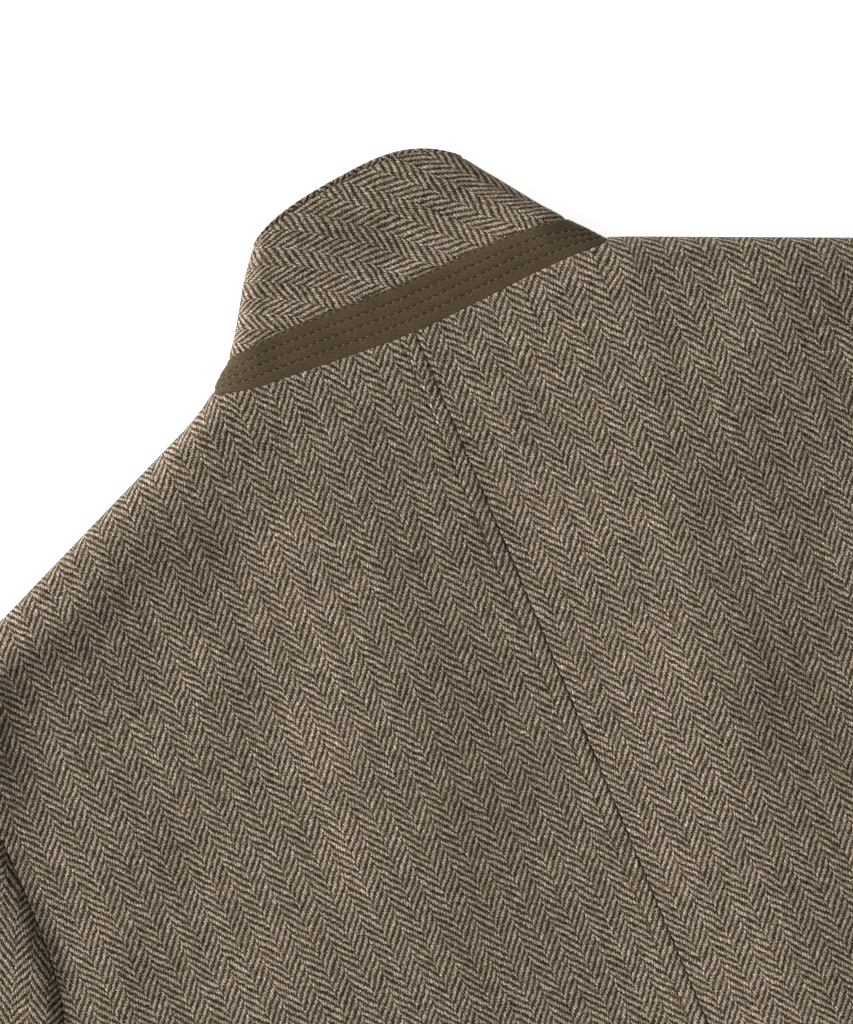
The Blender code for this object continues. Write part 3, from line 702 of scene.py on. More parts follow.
def back_surface(x, y, side, form):
    """Level of the back's outer face beside the neck edge, and how far its two folded edges have rolled."""
    height = body_height(x, y)
    shoulder, edge = edge_rolls(x, y, height)
    sewn = seam_dip(edge_inside(ARMHOLE_PATH, x, y), ARMHOLE_RISE, ARMHOLE_RISE_REACH)
    sewn = sewn * (1.0 - side_share(y)) * ease(shoulder_inside(x, y) / FOLD_FADE)
    folds = form.crease * calm(x, y) * sum(fold_rise(fold, side * x, y) for fold in BACK_FOLDS)
    level = height + folds + sewn + centre_seam(x, y, side, form) - np.maximum(shoulder, edge)
    return level, shoulder, edge, height


def collar_spread(x, y, near):
    """How far outwards the collar's sides and the neck points lie."""
    pinch = by_side(x, Sides(*(np.interp(y, PINCH_LEVELS, depths) for depths in COLLAR_PINCH)))
    full = by_side(x, COLLAR_FULLNESS) * within(y, COLLAR_FULLNESS_UP)
    return by_side(x, NECK_POINT_SPREAD) * near + (full - pinch) * within(np.abs(x), COLLAR_WIDTH_ACROSS)


def collar_lift(x, y, z):
    """Bulge and hollow of the collar's upper layers."""
    bulge = COLLAR_BULGE * humped(x, COLLAR_BULGE_ACROSS) * within(y, COLLAR_BULGE_UP)
    hollow = COLLAR_HOLLOW * humped(y, COLLAR_HOLLOW_UP) * within(np.abs(x), COLLAR_HOLLOW_ACROSS)
    return (bulge - hollow) * within(z, UPPER_LAYER)


def settle(points):
    """Moves the points as the jacket was laid out: low shoulders, a skew collar and uneven neck points."""
    x, y, z = np.moveaxis(points, -1, 0)
    across = np.abs(x)
    drop = by_side(x, SHOULDER_DROP) * within(across, SHOULDER_DROP_ACROSS) * within(y, SHOULDER_DROP_UP)
    skew = np.sin(math.pi * np.clip(across / by_side(x, EDGE_SKEW_REACH), 0.0, 1.0))
    skew = np.sign(x) * by_side(x, EDGE_SKEW) * skew * within(y, EDGE_SKEW_UP)
    near = humped(across, NECK_POINT_AT) * within(y, NECK_POINT_ABOVE) * within(y, NECK_POINT_BELOW)
    lift = by_side(x, NECK_POINT_LIFT) * near
    drift = DRIFT_TOP + DRIFT_BELOW * within(y, DRIFT_SPAN)
    from_slip = np.hypot(x - ARMHOLE_SLIP_AT.x, y - ARMHOLE_SLIP_AT.y)
    slip = ARMHOLE_SLIP * np.exp(-(from_slip / ARMHOLE_SLIP_REACH) ** 2)
    moved_x = np.sign(x) * collar_spread(x, y, near) + drift + ARMHOLE_SLIP_WAY.x * slip
    moved_y = skew - drop + lift + ARMHOLE_SLIP_WAY.y * slip + NECK_Y
    return points + np.stack([moved_x, moved_y, collar_lift(x, y, z)], axis=-1)


def closure_lift(x, y):
    """Lift of the fronts over the buttons that they lie on."""
    last = BUTTON_FIRST_Y - BUTTON_SPACING * (BUTTON_COUNT - 1)
    across = 1.0 - ease((np.abs(x) - CLOSURE_HALF_WIDTH) / CLOSURE_SLOPE)
    beyond = np.maximum(np.maximum(y - BUTTON_FIRST_Y - CLOSURE_BEYOND, last - CLOSURE_BEYOND - y), 0.0)
    return (BUTTON_THICKNESS + BUTTON_GAP) * across * (1.0 - ease(beyond / CLOSURE_SLOPE))


def front_flat(x, y, side):
    """Outer face of a front before its edges roll up. The right front's edge lies on the left front's."""
    step = 0.0
    if side > 0:
        step = (FRONT_WALL + OVERLAP_GAP) * (1.0 - ease((x - CLOSURE_HALF_WIDTH) / CLOSURE_SLOPE))
    return closure_lift(x, y) + step


def neck_seam_back(share):
    """Plan of the collar's seam on the back, from the centre to the neck point."""
    rise = (COLLAR_NECK_POINT[1] - NECK_SEAM_RISE) * share ** NECK_SEAM_CURVE
    return np.stack([share * COLLAR_NECK_POINT[0], NECK_SEAM_RISE + rise], axis=-1)


def neck_seam_front(share):
    """Plan of the collar's seam on a front, from the neck point to the collar's end."""
    out, up = COLLAR_NECK_POINT
    turn = math.acos(COLLAR_END_X / out) * share
    return np.stack([out * np.cos(turn), up - (up + FRONT_NECK_DROP) * np.sin(turn)], axis=-1)


def seam_level(plan, side, upper):
    """Height of the undercollar's outer face on the neck seam."""
    x, y = plan.T
    height = body_height(x, y)
    roll = fold_roll(shoulder_inside(x, y) - COLLAR_SINK, height - 2 * COLLAR_SINK)
    if upper:
        return height - COLLAR_SINK - roll
    return front_flat(x, y, side) + COLLAR_SINK + roll


def collar_edge_back(share):
    """The collar's free edge from the centre back to the middle of the side fold."""
    radius = COLLAR_EDGE_RADIUS
    flat = COLLAR_CORNER_X - radius
    travel = share * (flat + radius * math.pi / 2)
    turn = np.maximum(travel - flat, 0.0) / radius
    x = np.minimum(travel, flat) + radius * np.sin(turn)
    place = x / COLLAR_CORNER_X
    bow = COLLAR_EDGE_BOW_SHARE * place ** COLLAR_EDGE_BOW
    corner = (1.0 - COLLAR_EDGE_BOW_SHARE) * place ** COLLAR_EDGE_CORNER
    y = COLLAR_HEIGHT - (COLLAR_HEIGHT - COLLAR_CORNER_Y) * (bow + corner)
    return np.stack([x, y, COLLAR_EDGE_FLOOR + radius * (1.0 + np.cos(turn))], axis=-1)


def collar_edge_front():
    """The collar's free edge from the middle of the side fold, under it and down to the collar's point."""
    radius, floor = COLLAR_EDGE_RADIUS, COLLAR_EDGE_FLOOR
    under_x, under_y = COLLAR_CORNER_X - radius, COLLAR_CORNER_Y - radius
    middle_x = (under_x + COLLAR_POINT_X) / 2 + COLLAR_FRONT_BOW
    middle_y = (under_y + COLLAR_POINT_Y) / 2
    turn = radius * math.sqrt(0.5)
    return (
        (COLLAR_CORNER_X, COLLAR_CORNER_Y, floor + radius),
        (under_x + turn, under_y + turn, floor + radius - turn),
        (under_x, under_y, floor),
        (middle_x, middle_y, floor),
        (COLLAR_POINT_X, COLLAR_POINT_Y, floor),
    )


def collar_paths(side):
    """Neck seam and free edge of half the collar, each as a back stretch and a front stretch."""
    shares = np.linspace(0.0, 1.0, COLLAR_PATH_POINTS)
    back, front = neck_seam_back(shares), neck_seam_front(shares)
    return (
        Path(np.column_stack([back, seam_level(back, side, True)]), steps=1),
        Path(np.column_stack([front, seam_level(front, side, False)]), steps=1),
        Path(collar_edge_back(shares), steps=1),
        Path(collar_edge_front(), steps=COLLAR_POINT_STEPS),
    )


COLLAR_PATHS = {side: collar_paths(side) for side in (1, -1)}


def collar_face(around, up):
    """Undercollar's outer face. Around runs from -1 at one end to 1 at the other, up from seam to edge."""
    around, up = np.broadcast_arrays(around, up)
    point = np.zeros(around.shape + (3,))
    share = 2 * np.abs(around)
    for side in (1, -1):
        seam_back, seam_front, edge_back, edge_front = COLLAR_PATHS[side]
        for here, seam, edge, place in (
            (share <= 1.0, seam_back, edge_back, share),
            (share > 1.0, seam_front, edge_front, share - 1.0),
        ):
            mask = here & ((around >= 0) if side > 0 else (around < 0))
            rise = up[mask][:, None]
            found = (1.0 - rise) * seam.at(place[mask]) + rise * edge.at(place[mask])
            point[mask] = found * (side, 1, 1)
    return point


def collar_normal(around, up):
    """Direction out of the undercollar's outer face."""
    before, after = np.maximum(around - SMALL_STEP, -1.0), np.minimum(around + SMALL_STEP, 1.0)
    along = collar_face(after, up) - collar_face(before, up)
    rise = collar_face(around, up + SMALL_STEP) - collar_face(around, up - SMALL_STEP)
    normal = np.cross(along, rise)
    return normal / np.linalg.norm(normal, axis=-1, keepdims=True)


def band_share(around):
    """Height of the stand band as a share of the collar's height."""
    place = 2 * np.abs(around)
    back = BAND_SHARE_BACK + (BAND_SHARE_SIDE - BAND_SHARE_BACK) * np.minimum(place, 1.0) ** BAND_DROP
    front = BAND_SHARE_SIDE + (BAND_SHARE_FRONT - BAND_SHARE_SIDE) * ease(place - 1.0)
    return np.where(place <= 1.0, back, front)


def turn_steps(radius):
    """Close steps in from a folded edge, first the outermost."""
    last = np.arccos(FOLD_SEAM_HALF_GAP / radius)
    shares = np.linspace(1.0, 0.0, TURN_COUNT, endpoint=False)
    return radius * (1.0 - np.sin(shares[:, None] * last))


def patch(bottom, top, left, right, u, v):
    """Points of the plan inside four edges."""
    rows = (1 - v)[..., None] * bottom.at(u) + v[..., None] * top.at(u)
    columns = (1 - u)[..., None] * left.at(v) + u[..., None] * right.at(v)
    u, v = u[..., None], v[..., None]
    low = (1 - u) * bottom.at(0.0) + u * bottom.at(1.0)
    high = (1 - u) * top.at(0.0) + u * top.at(1.0)
    return rows + columns - (1 - v) * low - v * high


def body_rows(length, radius):
    """Shares of the way from the hem to the top edge, one line for each row."""
    side = UNDERARM_SHARE * np.linspace(0.0, 1.0, SIDE_ROWS + 1)[:, None] * np.ones_like(length)
    armhole = np.linspace(0.0, 1.0, ARMHOLE_ROWS + 1)[1:, None]
    armhole = UNDERARM_SHARE + (1.0 - radius / length - UNDERARM_SHARE) * armhole
    turn = 1.0 - turn_steps(radius)[::-1] / length
    return np.vstack([side, armhole, turn])


def neck_line(upper, first):
    """Cut neck edge of a panel, up to the folded shoulder."""
    share = np.linspace(first, 1.0, NECK_POINTS)
    seam = neck_seam_back(share) if upper else neck_seam_front(1.0 - share)
    points = list(seam)
    points[-1] = points[-1] + shoulder_inside(*points[-1]) * SHOULDER_OUT
    return points


def panel_grid(left, top, first_columns, columns):
    """Points of half a body panel, how far each one is from the top edge, and its share across."""
    bottom = Path([tuple(left.at(0.0)), tuple(BODY_SIDE[-1])], steps=1)
    radius = float(body_height(*UNDERARM)) / 2
    turn = 1.0 - turn_steps(np.array([radius]))[::-1, 0] / bottom.length
    even = np.linspace(first_columns[-1], 1.0 - radius / bottom.length, columns + 1)[1:]
    across = np.concatenate([first_columns, even, turn])
    length = (1.0 - across) * left.length + across * BODY_BORDER.length
    v = body_rows(length, body_height(*top.at(across).T) / 2)
    u = np.ones_like(v) * across
    return patch(bottom, top, left, BODY_BORDER, u, v), (1.0 - v) * length, u


def body_cut(side, across, y, rolls, height):
    """Place on the flat cut of a body panel, with the cloth that its folded edges take up."""
    shoulder, edge = (spare_length(roll, height) for roll in rolls)
    across = across + shoulder * SHOULDER_OUT[0] + edge
    return np.stack([side * across, y + shoulder * SHOULDER_OUT[1]], axis=-1)


def link_piece(mesh):
    """Puts a smooth mesh into the scene as a piece."""
    mesh.shade_smooth()
    piece = bpy.data.objects.new(mesh.name, mesh)
    bpy.context.scene.collection.objects.link(piece)
    return piece


def mesh_from(bm, name):
    """A mesh of what was drawn, which ends the drawing."""
    mesh = bpy.data.meshes.new(name)
    bm.to_mesh(mesh)
    bm.free()
    return mesh


def seal_mesh(mesh):
    """Joins the first and last line of a profile carried round, and closes its two ends."""
    bm = bmesh.new()
    bm.from_mesh(mesh)
    bmesh.ops.remove_doubles(bm, verts=bm.verts, dist=MERGE_DISTANCE)
    bmesh.ops.holes_fill(bm, edges=[edge for edge in bm.edges if edge.is_boundary])
    bmesh.ops.recalc_face_normals(bm, faces=bm.faces)
    bm.to_mesh(mesh)
    bm.free()


def grid_object(name, points, cut, turned=False, closed=False):
    """A grid carried to its points, with a map of its flat cut. A closed one is a profile carried round."""
    rows, columns = points.shape[0] - 1, points.shape[1] - 1
    bm = bmesh.new()
    bmesh.ops.create_grid(bm, x_segments=columns, y_segments=rows, size=1.0)
    if turned:
        bmesh.ops.reverse_faces(bm, faces=bm.faces)
    mesh = mesh_from(bm, name)
    place = np.empty(len(mesh.vertices) * 3, dtype=np.float32)
    mesh.vertices.foreach_get("co", place)
    place = (place.reshape(-1, 3) + 1.0) / 2
    column = np.rint(place[:, 0] * columns).astype(int)
    row = np.rint(place[:, 1] * rows).astype(int)
    mesh.vertices.foreach_set("co", settle(points)[row, column].astype(np.float32).ravel())
    corner = np.empty(len(mesh.loops), dtype=np.int32)
    mesh.loops.foreach_get("vertex_index", corner)
    cut_map = mesh.uv_layers.new(name="cut")
    cut_map.data.foreach_set("uv", cut[row, column][corner].astype(np.float32).ravel())
    if closed:
        seal_mesh(mesh)
    mesh.update()
    return link_piece(mesh)


def dress(piece, node, material):
    """Puts a finish on a piece and lets it stand for its solid."""
    piece.data.materials.append(material)
    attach(piece, "root")
    if node:
        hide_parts(node)


def make_panel(node, points, cut, turned, cloth):
    """A tweed panel, whose wall goes inwards from its outer face."""
    piece = grid_object(f"{node}_cloth", points, cut, turned=turned)
    wall = piece.modifiers.new("wall", "SOLIDIFY")
    wall.thickness = cloth.wall
    wall.offset = -1.0
    wall.use_quality_normals = True
    dress(piece, node, tweed_finish(cloth))


class Shading:
    """Adds shader nodes to one material."""

    def __init__(self, name, look):
        self.material = bpy.data.materials.new(name)
        self.material.use_nodes = True
        self.tree = self.material.node_tree
        self.shader = self.tree.nodes["Principled BSDF"]
        for socket, value in look.items():
            self.shader.inputs[socket].default_value = value

    def put(self, socket, value):
        if isinstance(value, bpy.types.NodeSocket):
            self.tree.links.new(value, socket)
        else:
            socket.default_value = value

    def math(self, operation, first, second=0.0):
        node = self.tree.nodes.new("ShaderNodeMath")
        node.operation = operation
        self.put(node.inputs[0], first)
        self.put(node.inputs[1], second)
        return node.outputs[0]

    def add(self, first, second):
        return self.math("ADD", first, second)

    def take(self, first, second):
        return self.math("SUBTRACT", first, second)

    def times(self, first, second):
        return self.math("MULTIPLY", first, second)

    def blend(self, share, first, second):
        return self.add(self.times(share, first), self.times(self.take(1.0, share), second))

    def spread(self, value, tone, smooth=True):
        node = self.tree.nodes.new("ShaderNodeMapRange")
        node.interpolation_type = "SMOOTHSTEP" if smooth else "LINEAR"
        for socket, item in zip(node.inputs, (value, *tone)):
            self.put(socket, item)
        return node.outputs[0]

    def mix(self, share, first, second, blend="MIX"):
        node = self.tree.nodes.new("ShaderNodeMix")
        node.data_type = "RGBA"
        node.blend_type = blend
        self.put(node.inputs["Factor"], share)
        self.put(node.inputs[6], first)
        self.put(node.inputs[7], second)
        return node.outputs[2]

    def join(self, *parts):
        node = self.tree.nodes.new("ShaderNodeCombineXYZ")
        for socket, part in zip(node.inputs, parts):
            self.put(socket, part)
        return node.outputs[0]

    def split(self, vector):
        node = self.tree.nodes.new("ShaderNodeSeparateXYZ")
        self.put(node.inputs[0], vector)
        return node.outputs[0], node.outputs[1]

    def noise(self, vector, scale, detail=2.0, dimensions="2D", output="Fac"):
        node = self.tree.nodes.new("ShaderNodeTexNoise")
        node.noise_dimensions = dimensions
        self.put(node.inputs["Vector"], vector)
        node.inputs["Scale"].default_value = scale
        node.inputs["Detail"].default_value = detail
        return node.outputs[output]

    def random(self, vector):
        node = self.tree.nodes.new("ShaderNodeTexWhiteNoise")
        node.noise_dimensions = "2D"
        self.put(node.inputs["Vector"], vector)
        return node.outputs["Value"]

    def ramp(self, share, colour, stops):
        node = self.tree.nodes.new("ShaderNodeValToRGB")
        self.put(node.inputs[0], share)
        band = node.color_ramp
        while len(band.elements) < len(stops):
            band.elements.new(0.5)
        for element, (place, *factors) in zip(band.elements, stops):
            element.position = place
            element.color = (*(part * factor for part, factor in zip(colour, factors)), 1.0)
        return node.outputs[0]

    def cut_map(self):
        node = self.tree.nodes.new("ShaderNodeUVMap")
        node.uv_map = "cut"
        return node.outputs[0]

    def paint(self, colour, shade):
        shaded = self.mix(1.0, colour, self.join(shade, shade, shade), "MULTIPLY")
        self.put(self.shader.inputs["Base Color"], shaded)

    def bump(self, height, distance, strength):
        node = self.tree.nodes.new("ShaderNodeBump")
        node.inputs["Strength"].default_value = strength
        node.inputs["Distance"].default_value = distance
        self.put(node.inputs["Height"], height)
        self.put(self.shader.inputs["Normal"], node.outputs[0])


def wobbled(s, uv):
    """Place across and along the cloth, with the unevenness of spun yarn."""
    across, along = s.split(uv)
    for scale, reach in WOBBLES:
        move_across, move_along = s.split(s.noise(uv, scale, 1.0, output="Color"))
        across = s.add(across, s.times(s.take(move_across, 0.5), reach))
        along = s.add(along, s.times(s.take(move_along, 0.5), reach))
    return across, along


def weave_of(s, uv, cloth):
    """Yarns and waves of a 2/2 twill that is turned at each column with a half-repeat break."""
    across, along = wobbled(s, uv)
    column = s.math("DIVIDE", across, cloth.column)
    repeat = s.math("DIVIDE", along, cloth.pitch)
    number = s.math("FLOOR", column)
    broken = s.times(number, COLUMN_BREAK)
    ends = s.times(s.math("PINGPONG", column, 1.0), float(cloth.ends))
    picks = s.times(repeat, 1.0 / TWILL_STEP)
    end, pick = s.math("FLOOR", ends), s.math("FLOOR", picks)
    warp_turn = s.add(s.add(repeat, broken), s.times(s.add(end, 0.5), TWILL_STEP))
    weft_turn = s.add(s.times(s.add(pick, 0.5), TWILL_STEP), broken)
    weft_turn = s.add(weft_turn, s.times(ends, TWILL_STEP))
    warp_wave = s.math("SINE", s.times(warp_turn, 2 * math.pi))
    weft_wave = s.math("SINE", s.times(weft_turn, -2 * math.pi))
    in_end, in_pick = s.math("FRACT", ends), s.math("FRACT", picks)
    return Weave(number, end, pick, warp_turn, weft_turn, warp_wave, weft_wave, in_end, in_pick)


def yarn_height(s, place_in, wave):
    """Relief of a round yarn that goes over and under."""
    off = s.math("ABSOLUTE", s.take(s.times(place_in, 2.0), 1.0))
    round_yarn = s.take(1.0, s.times(off, off))
    return s.add(s.times(round_yarn, YARN_ROUNDNESS), s.times(wave, 1.0 - YARN_ROUNDNESS))


def yarn_looks(s, uv, weave, cloth):
    """Colour and tone of the warp, then of the weft, which change along a yarn and from float to float."""
    u, v = s.split(uv)
    warp = s.add(s.times(weave.number, WARP_COLUMN_STEP), s.times(weave.end, WARP_END_STEP))
    weft = s.times(weave.pick, WEFT_PICK_STEP)
    warp_blend = s.noise(s.join(warp, s.times(v, YARN_BLEND_SCALE)), 1.0)
    weft_blend = s.noise(s.join(s.times(u, YARN_BLEND_SCALE), weft), 1.0)
    warp_float = s.random(s.join(warp, s.math("FLOOR", weave.warp_turn)))
    weft_float = s.random(s.join(weft, s.math("FLOOR", weave.weft_turn)))
    return (
        s.ramp(warp_blend, cloth.light_yarn, WARP_STOPS),
        s.spread(warp_float, WARP_TONE, smooth=False),
        s.ramp(weft_blend, cloth.dark_yarn, WEFT_STOPS),
        s.spread(weft_float, WEFT_TONE, smooth=False),
    )


def tweed_finish(cloth):
    """Herringbone: beige warp over brown weft, with loose fibres, faint streaks, a little heather, and
    painted shade and highlight from the yarns' relief.
    """
    found = bpy.data.materials.get("herringbone_tweed")
    if found:
        return found
    s = Shading("herringbone_tweed", TWEED_LOOK)
    uv = s.cut_map()
    u, v = s.split(uv)
    weave = weave_of(s, uv, cloth)
    fluff = s.times(s.take(s.noise(uv, FLUFF_SCALE), 0.5), FLUFF_REACH)
    shown = s.spread(s.add(weave.warp_wave, fluff), WARP_SHOWN)
    warp_height = yarn_height(s, weave.in_end, weave.warp_wave)
    weft_height = yarn_height(s, weave.in_pick, weave.weft_wave)
    relief_and_painted_shade = s.blend(shown, warp_height, weft_height)
    warp_colour, warp_tone, weft_colour, weft_tone = yarn_looks(s, uv, weave, cloth)
    fibre = s.noise(uv, FIBRE_SCALE)
    streak = s.noise(s.join(s.times(u, STREAK_ACROSS), s.times(v, STREAK_ALONG)), 1.0)
    shade = s.blend(shown, warp_tone, weft_tone)
    # The relief darkens the colour between yarns and brightens their crowns, as painted shade and painted
    # highlight. The other tones are the cloth's own random unevenness.
    for value, tone in (
        (relief_and_painted_shade, RELIEF_PAINTED_SHADE_AND_HIGHLIGHT),
        (fibre, FIBRE_TONE),
        (streak, SOFT_TONE),
        (s.noise(uv, CLOUD_SCALE, 3.0), CLOUD_TONE),
        (s.noise(uv, PATCH_SCALE, 1.0), SOFT_TONE),
    ):
        shade = s.times(shade, s.spread(value, tone))
    heather = s.ramp(s.noise(uv, HEATHER_SCALE), PLAIN, HEATHER_STOPS)
    colour = s.mix(shown, weft_colour, warp_colour)
    s.paint(s.mix(1.0, colour, heather, "MULTIPLY"), shade)
    s.bump(s.add(relief_and_painted_shade, s.times(fibre, FIBRE_RELIEF)), distance=0.00026, strength=0.60)
    return s.material


def olive_finish(cloth):
    """Close felted cloth of the stand band."""
    s = Shading("olive_cloth", FELT_LOOK)
    uv = s.cut_map()
    fibre = s.noise(uv, FELT_SCALE, 3.0)
    cloud = s.noise(uv, FELT_CLOUD_SCALE, 3.0)
    s.paint(s.ramp(fibre, cloth.olive, FELT_STOPS), s.spread(cloud, FELT_TONE))
    s.bump(fibre, distance=0.00012, strength=0.5)
    return s.material


def thread_finish(name, colour):
    """Matt sewing thread."""
    s = Shading(name, THREAD_LOOK)
    s.shader.inputs["Base Color"].default_value = (*colour, 1.0)
    return s.material


def horn_finish(sewing):
    """Polished dark horn with paler streaks."""
    found = bpy.data.materials.get("horn")
    if found:
        return found
    s = Shading("horn", HORN_LOOK)
    node = s.tree.nodes.new("ShaderNodeTexCoord")
    place = s.tree.nodes.new("ShaderNodeMapping")
    place.inputs["Scale"].default_value = HORN_SCALE
    s.put(place.inputs["Vector"], node.outputs["Object"])
    streak = s.noise(place.outputs[0], 1.0, 4.0, dimensions="3D")
    s.put(s.shader.inputs["Base Color"], s.ramp(streak, sewing.horn, HORN_STOPS))
    s.bump(streak, distance=0.00005, strength=0.3)
    return s.material


def make_back(side, word, settings):
    """Half of the back, with its pressed centre seam, its folds and its creases."""
    cloth, form = settings.jacket_cloth, settings.jacket_form
    neck = neck_line(True, SEAM_GAP / 2 / NECK_HALF_WIDTH)
    left = Path([(SEAM_GAP / 2, -BACK_LENGTH), neck[0]], steps=1)
    top = Path([*neck, SHOULDER_TIP], steps=1)
    neck_share = 1.0 - SHOULDER_LENGTH / top.length
    seam = np.array(SEAM_COLUMNS) / top.length
    first = np.concatenate([seam, np.linspace(seam[-1], neck_share, NECK_COLUMNS + 1)[1:]])
    plan, from_top, u = panel_grid(left, top, first, SHOULDER_COLUMNS)
    x, y = plan[..., 0], plan[..., 1]
    level, shoulder, edge, height = back_surface(x, y, side, form)
    level = level - np.where(u <= neck_share, seam_dip(from_top, NECK_EDGE_DIP, NECK_EDGE_REACH), 0.0)
    points = np.stack([side * x, y, level], axis=-1)
    shaping = form.shaping_right if side > 0 else form.shaping_left
    taken = np.clip(1.0 - x / SHAPING_WIDTH, 0.0, 1.0) ** SHAPING_POWER
    taken = shaping * ease(y / SHAPING_LENGTH + 1.0) * taken
    cut = body_cut(side, x + taken, y, (shoulder, edge), height)
    make_panel(f"back_{word}", points, cut, side < 0, cloth)


def make_front(side, word, settings):
    """A front, whose edge passes the centre by the overlap and then follows the neckline."""
    cloth, form = settings.jacket_cloth, settings.jacket_form
    neck = neck_line(False, 0.0)
    corner = (-FRONT_OVERLAP, neck[0][1] - FRONT_CORNER_DROP)
    left = Path([(-FRONT_OVERLAP, -BACK_LENGTH), corner, *neck], steps=1)
    top = Path([neck[-1], SHOULDER_TIP], steps=1)
    plan = panel_grid(left, top, np.array([0.0]), FRONT_COLUMNS)[0]
    x, y = plan[..., 0], plan[..., 1]
    height = body_height(x, y)
    rolls = edge_rolls(x, y, height)
    creases = form.crease * calm(x, y) * sum(fold_rise(fold, side * x, y) for fold in FRONT_CREASES)
    level = front_flat(x, y, side) + np.maximum(np.maximum(*rolls), creases)
    points = np.stack([side * x, y, level], axis=-1)
    make_panel(f"front_{word}", points, body_cut(side, x, y, rolls, height), side > 0, cloth)


def sleeve_rows():
    """Ends of the sleeve's rows from cuff to head, inner and outer, and each row's share."""
    outer_path, inner_path = Path(SLEEVE_OUTER), Path(SLEEVE_INNER)
    down = np.linspace(1.0, 0.0, SLEEVE_ROWS + 1)
    lower_outer = outer_path.at(SLEEVE_UNDERARM_SHARE + (1.0 - SLEEVE_UNDERARM_SHARE) * down)
    lower_share = SLEEVE_LOWER_SHARE * (1.0 - down ** (1.0 / SLEEVE_LOWER_POWER))
    step = np.linspace(0.0, 1.0, ARMHOLE_ROWS + 1)[1:]
    tip_radius = float(body_height(*SHOULDER_TIP)) / 2
    place = UNDERARM_SHARE + (1.0 - tip_radius / BODY_BORDER.length - UNDERARM_SHARE) * step
    along = BODY_BORDER.at(place + SMALL_STEP) - BODY_BORDER.at(place - SMALL_STEP)
    along = along / np.linalg.norm(along, axis=-1, keepdims=True)
    upper_inner = BODY_BORDER.at(place) + SEAM_GAP * np.stack([along[:, 1], -along[:, 0]], axis=-1)
    upper_outer = outer_path.at(SLEEVE_UNDERARM_SHARE + (SLEEVE_HEAD_SHARE - SLEEVE_UNDERARM_SHARE) * step)
    inner = np.vstack([inner_path.at(down), upper_inner])
    outer = np.vstack([lower_outer, upper_outer])
    share = np.concatenate([lower_share, SLEEVE_LOWER_SHARE + (1.0 - SLEEVE_LOWER_SHARE) * step])
    return inner, outer, share[:, None]


def sleeve_folds(u, v, folds):
    """Rise of the folds at a share across the sleeve and a share up it from the cuff."""
    return ease(4 * u * (1.0 - u)) * sum(fold_rise(fold, u, v) for fold in folds)


def sleeve_height(v):
    """Height of the lying sleeve without its folds."""
    return CUFF_HEIGHT + (SLEEVE_HEAD_HEIGHT - CUFF_HEIGHT) * ease(v)


def sleeve_head(distance, wide):
    """Rise of the upper sleeve beside the armhole seam."""
    rise = SLEEVE_EDGE_RISE + SLEEVE_TURN + SLEEVE_SWELL
    rise = rise - seam_dip(distance, SLEEVE_TURN, SLEEVE_TURN_REACH)
    rise = rise - seam_dip(distance, SLEEVE_SWELL, SLEEVE_SWELL_REACH)
    return rise * within(distance, SLEEVE_HEAD_SPAN) * ease((wide - distance) / SLEEVE_HEAD_EDGE)


def sleeve_columns(wide, v):
    """Distances of a row's points from the sleeve's inner border, closer together at its folded edges."""
    radius = np.minimum(sleeve_height(v) / 2, LARGEST_TURN * wide)
    turn = turn_steps(radius[:, 0]).T
    even = np.linspace(0.0, 1.0, SLEEVE_COLUMNS + 1) * (wide - 2 * radius) + radius
    return np.hstack([turn, even, wide - turn[:, ::-1]])


def sleeve_cut(side, flat, slant):
    """Place on the flat cut, whose columns run along the sleeve."""
    across = flat[..., 0] * math.cos(slant) + flat[..., 1] * math.sin(slant)
    along = flat[..., 1] * math.cos(slant) - flat[..., 0] * math.sin(slant)
    return np.stack([side * across, along], axis=-1)


def make_sleeve(side, word, upper, settings):
    """Upper or under sleeve, with its seams on the sleeve's folded edges."""
    cloth, form = settings.jacket_cloth, settings.jacket_form
    inner, outer, v = sleeve_rows()
    wide = np.linalg.norm(outer - inner, axis=-1, keepdims=True)
    direction = ((outer - inner) / wide)[:, None, :]
    distance = sleeve_columns(wide, v)
    plan = inner[:, None, :] + direction * distance[..., None]
    u = distance / wide
    height = sleeve_height(v) + sleeve_folds(u, v, SLEEVE_FOLDS)
    creases = form.crease * sleeve_folds(u, v, SLEEVE_CREASES)
    share = side_share(inner[:, 1])[:, None]
    most = height / 2 - FOLD_SEAM_HALF_GAP
    inner_roll = np.minimum(fold_roll(distance, height, share), most)
    outer_roll = np.minimum(fold_roll(wide - distance, height), most)
    level = np.maximum(inner_roll, outer_roll)
    if upper:
        level = height + creases + (1.0 - share) * sleeve_head(distance, wide) - level
    else:
        level = np.maximum(level, creases)
    points = np.stack([side * plan[..., 0], plan[..., 1], level], axis=-1)
    spare = spare_length(outer_roll, height) - spare_length(inner_roll, height)
    cut = sleeve_cut(side, plan + direction * spare[..., None], cloth.sleeve_slant)
    part = "upper" if upper else "under"
    make_panel(f"{part}_sleeve_{word}", points, cut, (side > 0) != upper, cloth)


def collar_stations():
    """Places around the collar, closer together at its side folds."""
    shares = np.linspace(0.0, 1.0, COLLAR_STATIONS // 4 + 1)
    back = 0.5 * (1.0 - (1.0 - shares) ** STATION_POWER)
    front = 0.5 + 0.5 * shares ** STATION_POWER
    half = np.concatenate([back, front[1:]])
    return np.concatenate([-half[:0:-1], half])


def collar_grid(stations, ups, outs):
    """Points of a collar piece, a line for each step of its profile, and their place on the flat collar."""
    around = np.ones_like(ups) * stations
    points = collar_face(around, ups) + outs[..., None] * collar_normal(around, np.clip(ups, 0.0, 1.0))
    middle = len(stations) // 2
    steps = np.linalg.norm(np.diff(points, axis=1), axis=-1)
    travel = np.hstack([np.zeros((len(points), 1)), np.cumsum(steps, axis=1)])
    across = travel - travel[:, middle:middle + 1]
    rises = np.linalg.norm(np.diff(points, axis=0), axis=-1)
    seam = neck_seam_back(np.minimum(2 * np.abs(stations), 1.0))[:, 1]
    up = seam + np.vstack([np.zeros((1, len(stations))), np.cumsum(rises, axis=0)])
    return points, np.stack([across, up], axis=-1)


